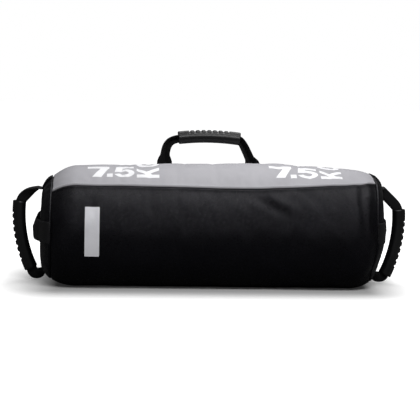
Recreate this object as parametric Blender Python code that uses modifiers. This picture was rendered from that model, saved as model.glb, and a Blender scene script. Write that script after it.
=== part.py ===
"""A weighted training sandbag: a stuffed roll of coated fabric with a handle on top and one at each end.

Metres, +Z up. The bag lies on its flat underside at Z = 0, along X, with its front towards -Y.
"""

import math

import bmesh
import bpy
from mathutils import Matrix, Vector

# The stuffed body
BODY_LENGTH = 0.608
BODY_HEIGHT = 0.215
BODY_DEPTH = 0.230
AXIS_HEIGHT = 0.100  # height of the widest part, below the middle because the bag sags
BASE_WIDTH = 0.100  # width of the part that lies flat on the ground
CORNER_LENGTH = 0.062  # how far along the bag its rounded end corner reaches
CORNER_DROP = 0.044  # how much the corner takes off the radius
BARREL = 0.004  # how much lower the crest is at the ends than in the middle
FRONT_SEAM_TURN = 133.5  # degrees from the back, over the top
BACK_SEAM_TURN = 46.5
END_SEAM_CORNER = 45.0  # degrees round the end corner at which the end panel is sewn in
FLAT_HALF_TURN = 15.0  # degrees of turn given to each half of the flat underside

# Cloth
SHELL = 0.0015
SEAM_TAPE = 0.0008
SEAM_TAPE_WIDTH = 0.022
WEBBING = 0.0022
WEBBING_WIDTH = 0.038
GAP = 0.0003
END_SEAM_GAP = 0.0008  # wider on the outside, because the folded edges lean together behind it
TAPE_GAP = 0.0006

# Filling
PADDING_DEPTH = 0.0032  # from the outside of the bag to the padding
ROLL_LENGTH = 0.480
BORE_RADIUS = 0.0520
LINER_CLEARANCE = 0.0006
LINER_WALL = 0.0010
LINER_BODY_LENGTH = 0.418  # from the right padding disc to the shoulder
LINER_SHOULDER = 0.030
NECK_RADIUS = 0.0110
NECK_LENGTH = 0.022
TIE_RADIUS = 0.0016
SAND_ROUNDING = 0.018

# Zip across the left end
ZIP_LENGTH = 0.118
ZIP_SLOT_WIDTH = 0.012
ZIP_TAPE_WIDTH = 0.016
ZIP_TAPE = 0.0008
TOOTH_PITCH = 0.0060
TOOTH_WIDTH = 0.0024
TOOTH_LENGTH = 0.0036
TOOTH_HEIGHT = 0.0016
TOOTH_OVERLAP = 0.0012
SLIDER_LENGTH = 0.0100
SLIDER_WIDTH = 0.0100
SLIDER_WALL = 0.0010
BRIDGE_WIDTH = 0.0030
BRIDGE_RISE = 0.0028
PULL_LENGTH = 0.024
PULL_WIDTH = 0.0060
PULL_THICKNESS = 0.0009
BAND_CLEARANCE = 0.0029  # between the slider's bridge and the band that crosses over it

# Webbing band across each end, and how far its middle stands off the end
LEFT_BAND_SLACK = 0.0125
RIGHT_BAND_SLACK = 0.0135
BAND_FLATNESS = 4  # how evenly it stands off between the corners

# Handles: a hinge line stands off the bag, and webbing bundles leave it at right angles
PIVOT_STANDOFF = 0.0080
KNUCKLE_RADIUS = 0.0060
LEG_ACROSS = 0.0090
BUNDLE_ACROSS = 0.0120
LEG_THICKNESS = 0.0110
BUNDLE_THICKNESS = 0.0165
CORE_ACROSS = 0.0120
CORE_THICKNESS = 0.0125
GRIP_ACROSS = 0.0220
GRIP_THICKNESS = 0.0210
GRIP_STRIP_WIDTH = 0.0130
RIB_RISE = 0.0022
RIB_COUNT = 7
END_PLATEAU = 0.0210  # the smooth stretch of the raised strip before the first rib
END_CHAMFER = 0.0015
RIB_SHARES = ((0.05, 0), (0.32, 1), (0.68, 1), (0.95, 0))  # along one rib's pitch, and of its rise
BUNDLE_SQUARENESS = 3.2  # 2 is an ellipse, and more is squarer
GRIP_SQUARENESS = 2.3

# End handles, in a plane through the bag's axis
UPPER_FOOT_BELOW_CREST = 0.041
LOWER_FOOT_HEIGHT = 0.013  # above the ground
SIDE_GRIP_LENGTH = 0.124
SIDE_GRIP_BEND_RADIUS = 0.232
SIDE_GRIP_TILT = 10.0  # degrees that its lower end leans in
LEFT_GRIP_FALL = 0.0180  # how far its middle hangs below the axis
RIGHT_GRIP_FALL = 0.0235
UPPER_ANCHOR_CORNER = 66.0  # where the sewn webbing lifts off the end corner
LOWER_ANCHOR_CORNER = 52.0
SIDE_HANDLE_REACH = 0.0290  # from the hinge line to the middle of the grip
LEFT_DROOP = 15.0  # degrees below the horizontal at which the upper leg leaves its hinge
RIGHT_DROOP = 40.0

# Top handle, behind the crest
TOP_FOOT_TURN = 62.0
TOP_HANDLE_SHIFT = 0.003  # towards the left end
TOP_FEET_SPACING = 0.164
TOP_LEAN = 28.0  # degrees that its legs lean in
TOP_GRIP_LENGTH = 0.114
TOP_GRIP_BEND_RADIUS = 0.430
TOP_HANDLE_REACH = 0.0520
TOP_FOOT_LENGTH = 0.052  # of webbing sewn down behind each leg

# Facets
TURN_STEPS = 13  # on each side of the flat underside
TOP_STEPS = 10
LENGTH_STEPS = 6
CORNER_STEPS = 3
ROUND_STEPS = 16  # of a turned piece
SECTION_POINTS = 10
GRIP_POINTS = 16
LEG_STEPS = 6
BAND_STEPS = 8
SHARP_ANGLE = 35.0  # between faces, at which an edge is no longer shaded smooth
MERGE = 0.000003

RADIUS = BODY_HEIGHT / 2
HALF = BODY_LENGTH / 2
STRAIGHT = HALF - CORNER_LENGTH
AXIS = Vector((0, 0, AXIS_HEIGHT))
UPPER_FOOT_RISE = BODY_HEIGHT - AXIS_HEIGHT - UPPER_FOOT_BELOW_CREST  # above the axis
LOWER_FOOT_FALL = AXIS_HEIGHT - LOWER_FOOT_HEIGHT

FABRIC_BLACK = ("coated_fabric_black", (0.018, 0.018, 0.020), 0.55)
FABRIC_GREY = ("coated_fabric_grey", (0.43, 0.42, 0.45), 0.55)
WEBBING_BLACK = ("webbing_black", (0.012, 0.012, 0.013), 0.85)
RUBBER_BLACK = ("moulded_rubber", (0.020, 0.020, 0.022), 0.45)
TAPE_BLACK = ("binding_tape", (0.030, 0.030, 0.032), 0.80)
ZIP_NYLON = ("zip_nylon", (0.022, 0.022, 0.024), 0.40)
ZIP_METAL = ("zip_metal", (0.10, 0.10, 0.11), 0.35)
WADDING = ("wadding", (0.72, 0.70, 0.66), 0.95)
LINER_CLOTH = ("liner_cloth", (0.55, 0.53, 0.48), 0.75)
SAND = ("sand", (0.56, 0.46, 0.32), 0.95)


def clear_scene():
    for thing in list(bpy.data.objects):
        bpy.data.objects.remove(thing, do_unlink=True)


def make_collections():
    parts = bpy.data.collections.new("sandbag_trainer")
    cutters = bpy.data.collections.new("cutters")
    bpy.context.scene.collection.children.link(parts)
    bpy.context.scene.collection.children.link(cutters)
    return parts, cutters


def material(finish):
    """The Principled material of a finish, made once."""
    name, colour, roughness = finish
    if name in bpy.data.materials:
        return bpy.data.materials[name]
    made = bpy.data.materials.new(name)
    made.use_nodes = True
    shader = made.node_tree.nodes["Principled BSDF"]
    shader.inputs["Base Color"].default_value = (*colour, 1)
    shader.inputs["Roughness"].default_value = roughness
    shader.inputs["Metallic"].default_value = 1 if name == "zip_metal" else 0
    return made


def add(name, bm, finish, collection, parent=None):
    """Puts a bmesh into the scene as one smooth-shaded object, in its parent's space if it has one."""
    mesh = bpy.data.meshes.new(name)
    bm.to_mesh(mesh)
    bm.free()
    mesh.shade_smooth()
    mesh.set_sharp_from_angle(angle=math.radians(SHARP_ANGLE))
    mesh.materials.append(material(finish))
    made = bpy.data.objects.new(name, mesh)
    collection.objects.link(made)
    made.parent = parent
    return made


def empty(name, matrix, collection):
    made = bpy.data.objects.new(name, None)
    made.empty_display_size = KNUCKLE_RADIUS
    collection.objects.link(made)
    made.matrix_world = matrix
    return made


def thicken(thing, thickness):
    """Solidify from the surface inwards."""
    solid = thing.modifiers.new("thickness", "SOLIDIFY")
    solid.thickness = thickness
    solid.offset = -1


def combine(thing, other, operation):
    join = thing.modifiers.new(operation.lower(), "BOOLEAN")
    join.operation = operation
    join.object = other
    join.solver = "EXACT"


def as_cutter(thing):
    thing.hide_render = True
    thing.display_type = "WIRE"
    return thing


def span(first, last, steps):
    """Evenly spaced values from first to last, both included."""
    return [first + (last - first) * step / steps for step in range(steps + 1)]


# The shape of the stuffed bag

def section(turn, inset=0.0):
    """The cross-section's point at a turn in degrees: from the back, over the top, to the front and under."""
    half = BODY_DEPTH / 2 - inset
    turn = turn % 360
    if turn <= 180:
        angle = math.radians(turn)
        return half * math.cos(angle), AXIS_HEIGHT + (BODY_HEIGHT - AXIS_HEIGHT - inset) * math.sin(angle)
    flat = BASE_WIDTH / 2
    past = turn - 270
    if abs(past) <= FLAT_HALF_TURN:
        return flat * past / FLAT_HALF_TURN, inset
    angle = math.radians((abs(past) - FLAT_HALF_TURN) / (90 - FLAT_HALF_TURN) * 90)
    side = flat + (half - flat) * math.sin(angle)
    return math.copysign(side, past), AXIS_HEIGHT - (AXIS_HEIGHT - inset) * math.cos(angle)


def corner(degrees):
    """How far along the bag, how far in from its full radius, and which way out, round the end corner."""
    angle = math.radians(degrees)
    out = Vector((CORNER_DROP * math.sin(angle), CORNER_LENGTH * math.cos(angle))).normalized()
    return STRAIGHT + CORNER_LENGTH * math.sin(angle), CORNER_DROP * (1 - math.cos(angle)), out


def skin(along, drop, turn, out=(0, 1), inset=0.0):
    """A point of the bag's surface, pushed in along the surface's own normal by inset."""
    y, z = section(turn, inset * out[1])
    size = 1 - drop / RADIUS
    flatter = 1 - BARREL / BODY_HEIGHT * (along / HALF) ** 2
    x = along - inset * out[0] * math.copysign(1, along)
    return Vector((x, y * size * flatter, (AXIS_HEIGHT + (z - AXIS_HEIGHT) * size) * flatter))


def tube_rows(seam=END_SEAM_CORNER, middle_steps=LENGTH_STEPS):
    """Stations from the left end seam to the right one, as (along, drop, out)."""
    right = [corner(degrees) for degrees in span(0, seam, CORNER_STEPS)]
    left = [(-along, drop, out) for along, drop, out in reversed(right)]
    middle = [(along, 0, (0, 1)) for along in span(-STRAIGHT, STRAIGHT, middle_steps)[1:-1]]
    return left + middle + right


def sheet(rows, columns, place):
    """A grid primitive with each vertex moved to place(row, column)."""
    bm = bmesh.new()
    bmesh.ops.create_grid(bm, x_segments=len(columns) - 1, y_segments=len(rows) - 1, size=1)
    for vertex in bm.verts:
        column = columns[round((vertex.co.x + 1) / 2 * (len(columns) - 1))]
        row = rows[round((vertex.co.y + 1) / 2 * (len(rows) - 1))]
        vertex.co = place(row, column)
    bmesh.ops.remove_doubles(bm, verts=bm.verts, dist=MERGE)
    return bm


def face_out(bm, outside):
    """Turns the faces of an open sheet so that they face away from the point given."""
    bmesh.ops.recalc_face_normals(bm, faces=bm.faces)
    face = bm.faces[:][0]
    if face.normal.dot(face.calc_center_median() - outside) < 0:
        bmesh.ops.reverse_faces(bm, faces=bm.faces)


def seam_turn(turn, towards_rise):
    """A seam's turn moved by half the sewing gap."""
    step = math.degrees(GAP / 2 / (BODY_DEPTH / 2))
    return turn + step * towards_rise


# The shell

def main_panel(parts):
    front = span(seam_turn(FRONT_SEAM_TURN, 1), 270 - FLAT_HALF_TURN, TURN_STEPS)
    back = span(270 + FLAT_HALF_TURN, seam_turn(BACK_SEAM_TURN, -1) + 360, TURN_STEPS)
    bm = sheet(tube_rows(), front + back, lambda row, turn: skin(row[0], row[1], turn))
    face_out(bm, AXIS)
    thicken(add("main_panel", bm, FABRIC_BLACK, parts), SHELL)


def top_panel(parts):
    turns = span(seam_turn(BACK_SEAM_TURN, 1), seam_turn(FRONT_SEAM_TURN, -1), TOP_STEPS)
    bm = sheet(tube_rows(), turns, lambda row, turn: skin(row[0], row[1], turn))
    face_out(bm, AXIS)
    thicken(add("top_panel", bm, FABRIC_GREY, parts), SHELL)


def whole_turn():
    """Turns all the way round, with the edges of the flat underside among them."""
    over = span(270 + FLAT_HALF_TURN - 360, 270 - FLAT_HALF_TURN, 3 * TURN_STEPS)
    return over + [270 + FLAT_HALF_TURN]


def end_rows(first_corner):
    """Stations over an end, from its seam to its middle."""
    rows = [corner(degrees) for degrees in span(first_corner, 90, CORNER_STEPS)]
    rows += [(HALF, drop, (1, 0)) for drop in span(CORNER_DROP, RADIUS, 3)[1:]]
    return rows


def end_panel(side, name, parts, cutters):
    gap_corner = END_SEAM_CORNER + math.degrees(END_SEAM_GAP * 2 / (CORNER_LENGTH + CORNER_DROP))
    bm = sheet(
        end_rows(gap_corner),
        whole_turn(),
        lambda row, turn: skin(side * row[0], row[1], turn),
    )
    face_out(bm, AXIS)
    panel = add(name, bm, FABRIC_BLACK, parts)
    thicken(panel, SHELL)
    if side < 0:
        combine(panel, zip_slot(cutters), "DIFFERENCE")


def zip_slot(cutters):
    bm = bmesh.new()
    bmesh.ops.create_cube(bm, size=1)
    bmesh.ops.scale(bm, vec=(CORNER_LENGTH / 2, ZIP_LENGTH, ZIP_SLOT_WIDTH), verts=bm.verts)
    bmesh.ops.translate(bm, vec=(-HALF, 0, AXIS_HEIGHT), verts=bm.verts)
    return as_cutter(add("zip_slot", bm, FABRIC_BLACK, cutters))


def long_seam_tape(name, turn, parts):
    """Binding tape behind a seam that runs along the bag, stopping short of the end tapes."""
    half_turn = math.degrees(SEAM_TAPE_WIDTH / BODY_DEPTH)
    depth = SHELL + TAPE_GAP
    rows = [(along, 0, (0, 1)) for along in span(-STRAIGHT, STRAIGHT, LENGTH_STEPS)]
    turns = span(turn - half_turn, turn + half_turn, 2)
    bm = sheet(rows, turns, lambda row, at: skin(row[0], row[1], at, row[2], depth))
    face_out(bm, AXIS)
    thicken(add(name, bm, TAPE_BLACK, parts), SEAM_TAPE)


def end_seam_tape(side, name, parts):
    """Binding tape behind the seam round an end."""
    half_corner = END_SEAM_CORNER / CORNER_STEPS
    depth = SHELL + TAPE_GAP
    rows = [corner(d) for d in span(END_SEAM_CORNER - half_corner, END_SEAM_CORNER + half_corner, 2)]
    bm = sheet(rows, whole_turn(), lambda row, at: skin(side * row[0], row[1], at, row[2], depth))
    face_out(bm, AXIS)
    thicken(add(name, bm, TAPE_BLACK, parts), SEAM_TAPE)


# The filling

def loft(rings, closed=False):
    """Joins rings of equally many points, and caps both ends unless the last ring meets the first."""
    bm = bmesh.new()
    made = [[bm.verts.new(point) for point in ring] for ring in rings]
    pairs = list(zip(made, made[1:]))
    if closed:
        pairs.append((made[-1], made[0]))
    for near, far in pairs:
        for k in range(len(near)):
            after = (k + 1) % len(near)
            bm.faces.new((near[k], near[after], far[after], far[k]))
    if not closed:
        bm.faces.new(made[0])
        bm.faces.new(made[-1])
    bmesh.ops.recalc_face_normals(bm, faces=bm.faces)
    return bm


def bag_ring(along, drop=0, out=(0, 1), inset=PADDING_DEPTH):
    return [skin(along, drop, turn, out, inset) for turn in whole_turn()]


def bore_ring(x):
    """A circle with as many points as the bag's section, for the hole through the padding."""
    turns = whole_turn()
    circle = span(turns[0], turns[0] + 360, len(turns))[:-1]
    return [
        AXIS + Vector((x, BORE_RADIUS * math.cos(math.radians(t)), BORE_RADIUS * math.sin(math.radians(t))))
        for t in circle
    ]


def padding_roll(parts):
    stations = span(-ROLL_LENGTH / 2, ROLL_LENGTH / 2, 2)
    outer = [bag_ring(x) for x in stations]
    inner = [bore_ring(x) for x in reversed(stations)]
    add("padding_roll", loft(outer + inner, closed=True), WADDING, parts)


def padding_disc(side, name, parts):
    """A disc that fills one end of the bag, between the roll and the end panel."""
    first = ROLL_LENGTH / 2 + GAP
    rings = [bag_ring(side * first)]
    for degrees in span(0, 90, CORNER_STEPS)[1:]:
        along, drop, out = corner(degrees)
        rings.append(bag_ring(side * along, drop, out))
    add(name, loft(rings), WADDING, parts)


def turned(name, profile, finish, parts):
    """A profile of (along X, radius) turned about the bag's axis."""
    mesh = bpy.data.meshes.new(name)
    closed = [(k, (k + 1) % len(profile)) for k in range(len(profile))]
    open_ended = profile[0][1] == 0
    edges = closed[:-1] if open_ended else closed
    mesh.from_pydata([(radius, 0, along) for along, radius in profile], edges, [])
    mesh.materials.append(material(finish))
    made = bpy.data.objects.new(name, mesh)
    parts.objects.link(made)
    made.matrix_world = Matrix.Translation(AXIS) @ Matrix.Rotation(math.radians(90), 4, "Y")
    screw = made.modifiers.new("turn", "SCREW")
    screw.steps = screw.render_steps = ROUND_STEPS
    screw.use_merge_vertices = True
    screw.merge_threshold = MERGE
    screw.use_smooth_shade = True
    return made


def arc(centre, radius, first, last, steps):
    """Points of (along, radius) round an arc, angles in degrees from the axis direction."""
    return [
        (centre[0] + radius * math.cos(math.radians(a)), centre[1] + radius * math.sin(math.radians(a)))
        for a in span(first, last, steps)
    ]


LINER_RADIUS = BORE_RADIUS - LINER_CLEARANCE
LINER_RIGHT = ROLL_LENGTH / 2
LINER_LEFT = LINER_RIGHT - LINER_BODY_LENGTH
NECK_START = LINER_LEFT - LINER_SHOULDER
ROUNDING_CENTRE = (LINER_RIGHT - SAND_ROUNDING, LINER_RADIUS - SAND_ROUNDING)


def sand_liner(parts):
    """The inner bag: a closed right end, and a neck gathered at the left one."""
    outer = [(LINER_RIGHT, 0)]
    outer += arc(ROUNDING_CENTRE, SAND_ROUNDING, 0, 90, 4)
    neck_end = NECK_START - NECK_LENGTH
    outer += [(LINER_LEFT, LINER_RADIUS), (NECK_START, NECK_RADIUS), (neck_end, NECK_RADIUS)]
    inside = NECK_RADIUS - LINER_WALL
    inner = [(neck_end, inside), (NECK_START, inside), (LINER_LEFT, LINER_RADIUS - LINER_WALL)]
    inner += arc(ROUNDING_CENTRE, SAND_ROUNDING - LINER_WALL, 90, 0, 4)
    inner += [(LINER_RIGHT - LINER_WALL, 0)]
    turned("sand_liner", outer + inner, LINER_CLOTH, parts)


def sand_fill(parts):
    inset = LINER_WALL + GAP
    profile = [(LINER_RIGHT - inset, 0)]
    profile += arc(ROUNDING_CENTRE, SAND_ROUNDING - inset, 0, 90, 4)
    profile += [(LINER_LEFT + GAP, LINER_RADIUS - inset), (LINER_LEFT + GAP, 0)]
    turned("sand_fill", profile, SAND, parts)


def liner_tie(parts):
    """A cord knotted round the liner's neck, closed to a ring."""
    x = NECK_START - NECK_LENGTH / 2
    bpy.ops.mesh.primitive_torus_add(
        major_radius=NECK_RADIUS + GAP + TIE_RADIUS,
        minor_radius=TIE_RADIUS,
        major_segments=ROUND_STEPS,
        minor_segments=ROUND_STEPS // 2,
        location=AXIS + Vector((x, 0, 0)),
        rotation=(0, math.radians(90), 0),
    )
    ring = bpy.context.object
    ring.name = "liner_tie"
    ring.data.materials.append(material(TAPE_BLACK))
    ring.data.shade_smooth()
    for collection in list(ring.users_collection):
        collection.objects.unlink(ring)
    parts.objects.link(ring)


# The zip

def block(bm, low, high):
    """Adds a box between two corners."""
    low, high = Vector(low), Vector(high)
    made = bmesh.ops.create_cube(bm, size=1)["verts"]
    bmesh.ops.scale(bm, vec=high - low, verts=made)
    bmesh.ops.translate(bm, vec=(low + high) / 2, verts=made)


def zip_tape(name, rise, parts, cutters):
    """One half of the zip: a tape behind the end panel, and a row of teeth over its edge."""
    face = -HALF + SHELL + GAP  # the side of the tape that lies against the end panel
    far = face + ZIP_TAPE
    half = ZIP_LENGTH / 2
    bm = bmesh.new()
    edges = sorted((rise * TOOTH_OVERLAP, rise * ZIP_TAPE_WIDTH))
    block(bm, (face, -half, AXIS_HEIGHT + edges[0]), (far, half, AXIS_HEIGHT + edges[1]))
    tape = add(name, bm, ZIP_NYLON, parts)
    teeth = bmesh.new()
    count = int((ZIP_LENGTH - TOOTH_PITCH) / TOOTH_PITCH)
    first = -count * TOOTH_PITCH / 2 + rise * TOOTH_PITCH / 4
    for k in range(count):
        y = first + k * TOOTH_PITCH
        reach = sorted((-rise * TOOTH_OVERLAP, rise * TOOTH_LENGTH))
        low = (face - TOOTH_HEIGHT, y, AXIS_HEIGHT + reach[0])
        block(teeth, low, (far - ZIP_TAPE / 2, y + TOOTH_WIDTH, AXIS_HEIGHT + reach[1]))
    row = as_cutter(add(name + "_teeth", teeth, ZIP_NYLON, cutters))
    combine(tape, row, "UNION")


def slider_face():
    """The side of the slider that runs over the teeth."""
    return -HALF + SHELL + GAP - TOOTH_HEIGHT - GAP


def slider_place():
    """By the zip's closed end, or where the band still clears the slider, whichever is nearer the middle."""
    top = -HALF - (slider_face() - SLIDER_WALL - BRIDGE_RISE)
    needed = (top + BAND_CLEARANCE - GAP) / LEFT_BAND_SLACK
    widest = skin(HALF, CORNER_DROP, 0).y * max(0, 1 - needed) ** (1 / BAND_FLATNESS)
    return min(ZIP_LENGTH / 2 - SLIDER_LENGTH, widest - SLIDER_LENGTH / 2)


def zip_slider(parts, cutters):
    """A plate with a turned-in wall on each side of the teeth, and a bridge for the pull."""
    y = slider_place()
    inner = slider_face()
    outer = inner - SLIDER_WALL
    wide = SLIDER_WIDTH / 2
    wall = TOOTH_LENGTH + GAP
    pivot = empty("zip_slider_origin", Matrix.Translation((outer, y, AXIS_HEIGHT)), parts)
    bm = bmesh.new()
    long = SLIDER_LENGTH / 2
    block(bm, (0, -long, -wide), (SLIDER_WALL, long, wide))
    slider = add("zip_slider", bm, ZIP_METAL, parts, pivot)
    walls = bmesh.new()
    for side in (-1, 1):
        z = sorted((side * wall, side * wide))
        block(walls, (SLIDER_WALL / 2, -long, z[0]), (SLIDER_WALL + TOOTH_HEIGHT, long, z[1]))
    combine(slider, as_cutter(add("slider_walls", walls, ZIP_METAL, cutters, pivot)), "UNION")
    bridge = bmesh.new()
    narrow = BRIDGE_WIDTH / 2
    foot = wide - SLIDER_WALL
    block(bridge, (-BRIDGE_RISE, -narrow, -foot), (SLIDER_WALL / 2, narrow, foot))
    combine(slider, as_cutter(add("slider_bridge", bridge, ZIP_METAL, cutters, pivot)), "UNION")
    eye = bmesh.new()
    low = -wide + 2 * SLIDER_WALL
    block(eye, (-BRIDGE_RISE + SLIDER_WALL, -wide, low), (-GAP / 2, wide, wide - 2 * SLIDER_WALL))
    combine(slider, as_cutter(add("slider_eye", eye, ZIP_METAL, cutters, pivot)), "DIFFERENCE")
    return outer, y


def zip_pull(outer, y, parts, cutters):
    """A pull that hangs down, with a bar through the slider's bridge and an arm down each side of it."""
    eye_bottom = AXIS_HEIGHT - SLIDER_WIDTH / 2 + 2 * SLIDER_WALL
    eye_middle = outer - (BRIDGE_RISE - SLIDER_WALL) / 2
    hinge = (eye_middle, y, eye_bottom + PULL_THICKNESS)
    pivot = empty("zip_pull_origin", Matrix.Translation(hinge), parts)
    thick = PULL_THICKNESS / 2
    half = PULL_WIDTH / 2
    window = BRIDGE_WIDTH / 2 + GAP
    bm = bmesh.new()
    block(bm, (-thick, -half, -PULL_LENGTH), (thick, half, thick))
    pull = add("zip_pull", bm, ZIP_METAL, parts, pivot)
    slot = bmesh.new()
    foot = -SLIDER_WIDTH / 2 - thick
    block(slot, (-PULL_WIDTH, -window, foot), (PULL_WIDTH, window, -thick))
    combine(pull, as_cutter(add("zip_pull_window", slot, ZIP_METAL, cutters, pivot)), "DIFFERENCE")


# Webbing and handles

def squircle(across, thickness, points, power=BUNDLE_SQUARENESS):
    """Points round a rounded rectangle, as (across, thickness)."""
    ring = []
    for k in range(points):
        angle = 2 * math.pi * k / points
        c, s = math.cos(angle), math.sin(angle)
        a = math.copysign(abs(c) ** (2 / power), c) * across / 2
        t = math.copysign(abs(s) ** (2 / power), s) * thickness / 2
        ring.append((a, t))
    return ring


def bezier(start, lead, trail, end, steps):
    points = []
    for t in span(0, 1, steps):
        u = 1 - t
        points.append(u**3 * start + 3 * u * u * t * lead + 3 * u * t * t * trail + t**3 * end)
    return points


def sweep(path, sizes):
    """A bundle along a path in the local XZ plane, with a size (across, thickness) at each point."""
    rings = []
    for k, point in enumerate(path):
        ahead = path[min(k + 1, len(path) - 1)] - path[max(k - 1, 0)]
        side = Vector((-ahead.z, 0, ahead.x)).normalized()
        across, thickness = sizes[k]
        ring = squircle(across, thickness, SECTION_POINTS)
        rings.append([point + Vector((0, a, 0)) + side * t for a, t in ring])
    return loft(rings)


def mix(first, last, share):
    return tuple(a + (b - a) * share for a, b in zip(first, last))


def neck_sizes(gathered):
    """Flat webbing folded up: it narrows at once, and thickens only where it has left the bag."""
    sizes = []
    for share in span(0, 1, LEG_STEPS)[1:]:
        across = mix((WEBBING_WIDTH,), gathered[:1], 1 - (1 - share) ** 2)
        thickness = mix((WEBBING,), gathered[1:], share**3)
        sizes.append(across + thickness)
    return sizes


def grip_line(length, bend_radius, tilt, middle, stations):
    """Points, and directions outwards, along the curved middle line of a grip, from its upper end down."""
    line = []
    for station in stations:
        angle = (station - length / 2) / bend_radius
        out = Vector((math.cos(angle), 0, -math.sin(angle)))
        point = (out - Vector((1, 0, 0))) * bend_radius
        turn = Matrix.Rotation(math.radians(tilt), 3, "Y")
        line.append((middle + turn @ point, turn @ out))
    return line


def rib_stations(length):
    """Distances along a grip, each with the share of the rib's rise that the strip has there."""
    pitch = (length - 2 * END_PLATEAU) / RIB_COUNT
    stations = [(END_CHAMFER, 1.0), (END_PLATEAU - pitch / 6, 1.0)]
    for k in range(RIB_COUNT):
        start = END_PLATEAU + k * pitch
        stations += [(start + pitch * share, rise) for share, rise in RIB_SHARES]
    stations += [(length - END_PLATEAU + pitch / 6, 1.0), (length - END_CHAMFER, 1.0)]
    return stations


def grip(name, length, bend_radius, tilt, middle, parts, pivot):
    """A moulded sleeve with a raised, ribbed strip along its outer side, and a bore for the webbing."""
    stations = [(0, 0)] + rib_stations(length) + [(length, 0)]
    line = grip_line(length, bend_radius, tilt, middle, [s for s, _ in stations])
    rings = []
    for (point, out), (station, rise) in zip(line, stations):
        at_end = station in (0, length)
        trim = END_CHAMFER if at_end else 0
        ring = []
        for a, t in squircle(GRIP_ACROSS - trim, GRIP_THICKNESS - trim, GRIP_POINTS, GRIP_SQUARENESS):
            on_strip = t > 0 and abs(a) < GRIP_STRIP_WIDTH / 2 + GAP
            lift = RIB_RISE * rise if on_strip else 0
            ring.append(point + Vector((0, a, 0)) + out * (t + lift))
        rings.append(ring)
    bore = []
    for point, out in grip_line(length, bend_radius, tilt, middle, span(length, 0, LEG_STEPS)):
        hole = squircle(CORE_ACROSS + 2 * GAP, CORE_THICKNESS + 2 * GAP, GRIP_POINTS)
        bore.append([point + Vector((0, a, 0)) + out * t for a, t in hole])
    add(name, loft(rings + bore, closed=True), RUBBER_BLACK, parts, pivot)


def strap_leg(foot, droop, core_end, way_in):
    """From a hinge to an end of the grip, which it meets along the grip's middle line."""
    pull = (core_end - foot).length / 2
    angle = math.radians(droop)
    way_out = Vector((math.cos(angle), 0, -math.sin(angle)))
    return bezier(foot, foot + way_out * pull, core_end - way_in * pull, core_end, LEG_STEPS)


def strap(name, upper_foot, lower_foot, droops, shape, parts, cutters, pivot):
    """Folded webbing from one hinge, through the grip, to the other."""
    length, bend_radius, tilt, middle = shape
    inside = grip_line(length, bend_radius, tilt, middle, span(0, length, LEG_STEPS))
    core = [point for point, _ in inside]
    upper = strap_leg(upper_foot, droops[0], core[0], (core[1] - core[0]).normalized())
    lower = strap_leg(lower_foot, droops[1], core[-1], (core[-2] - core[-1]).normalized())
    leg, bundle = (LEG_ACROSS, LEG_THICKNESS), (BUNDLE_ACROSS, BUNDLE_THICKNESS)
    leg_sizes = [mix(leg, bundle, share) for share in span(0, 1, LEG_STEPS)[:-1]]
    sizes = leg_sizes + [(CORE_ACROSS, CORE_THICKNESS)] * len(core) + leg_sizes[::-1]
    path = upper[:-1] + core + lower[-2::-1]
    made = add(name, sweep(path, sizes), WEBBING_BLACK, parts, pivot)
    sockets = bmesh.new()
    for foot in (upper_foot, lower_foot):
        post(sockets, foot, KNUCKLE_RADIUS + GAP, 2 * BUNDLE_THICKNESS)
    combine(made, as_cutter(add(name + "_sockets", sockets, WEBBING_BLACK, cutters, pivot)), "DIFFERENCE")


def post(bm, centre, radius, height):
    """An upright cylinder on the hinge line."""
    made = bmesh.ops.create_cone(
        bm,
        cap_ends=True,
        segments=ROUND_STEPS,
        radius1=radius,
        radius2=radius,
        depth=height,
        matrix=Matrix.Translation(centre),
    )
    return made["verts"]


def anchor(name, path, foot, parts, cutters, pivot):
    """Webbing sewn down along a path, gathered at its end into the round knuckle of a hinge."""
    gathered = (LEG_ACROSS, LEG_THICKNESS - 2 * GAP)
    way = (path[-1] - path[-2]).normalized()
    pull = (foot - path[-1]).length / 2
    neck = bezier(path[-1], path[-1] + way * pull, foot - Vector((pull, 0, 0)), foot, LEG_STEPS)
    sizes = [(WEBBING_WIDTH, WEBBING)] * len(path) + neck_sizes(gathered)
    made = add(name, sweep(path + neck[1:], sizes), WEBBING_BLACK, parts, pivot)
    knuckle = bmesh.new()
    post(knuckle, foot, KNUCKLE_RADIUS, LEG_THICKNESS)
    combine(made, as_cutter(add(name + "_knuckle", knuckle, WEBBING_BLACK, cutters, pivot)), "UNION")


def side_handle(side, word, fall, droop, parts, cutters):
    place = Matrix.Translation((side * (HALF + PIVOT_STANDOFF), 0, AXIS_HEIGHT))
    if side < 0:
        place = place @ Matrix.Rotation(math.radians(180), 4, "Z")
    pivot = empty(word + "_handle_hinge", place, parts)
    upper, lower = Vector((0, 0, UPPER_FOOT_RISE)), Vector((0, 0, -LOWER_FOOT_FALL))
    middle = Vector((SIDE_HANDLE_REACH, 0, -fall))
    shape = (SIDE_GRIP_LENGTH, SIDE_GRIP_BEND_RADIUS, SIDE_GRIP_TILT, middle)
    grip(word + "_grip", *shape, parts, pivot)
    strap(word + "_strap", upper, lower, (droop, 0), shape, parts, cutters, pivot)
    ends = (("upper", 90, upper, UPPER_ANCHOR_CORNER), ("lower", 270, lower, LOWER_ANCHOR_CORNER))
    for end, turn, foot, last in ends:
        path = []
        for degrees in span(END_SEAM_CORNER, last, CORNER_STEPS):
            along, drop, out = corner(degrees)
            point = skin(along, drop, turn, out, -(WEBBING / 2 + GAP))
            path.append(point - Vector((HALF + PIVOT_STANDOFF, 0, AXIS_HEIGHT)))
        anchor(f"{word}_{end}_anchor", path, foot, parts, cutters, pivot)


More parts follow.
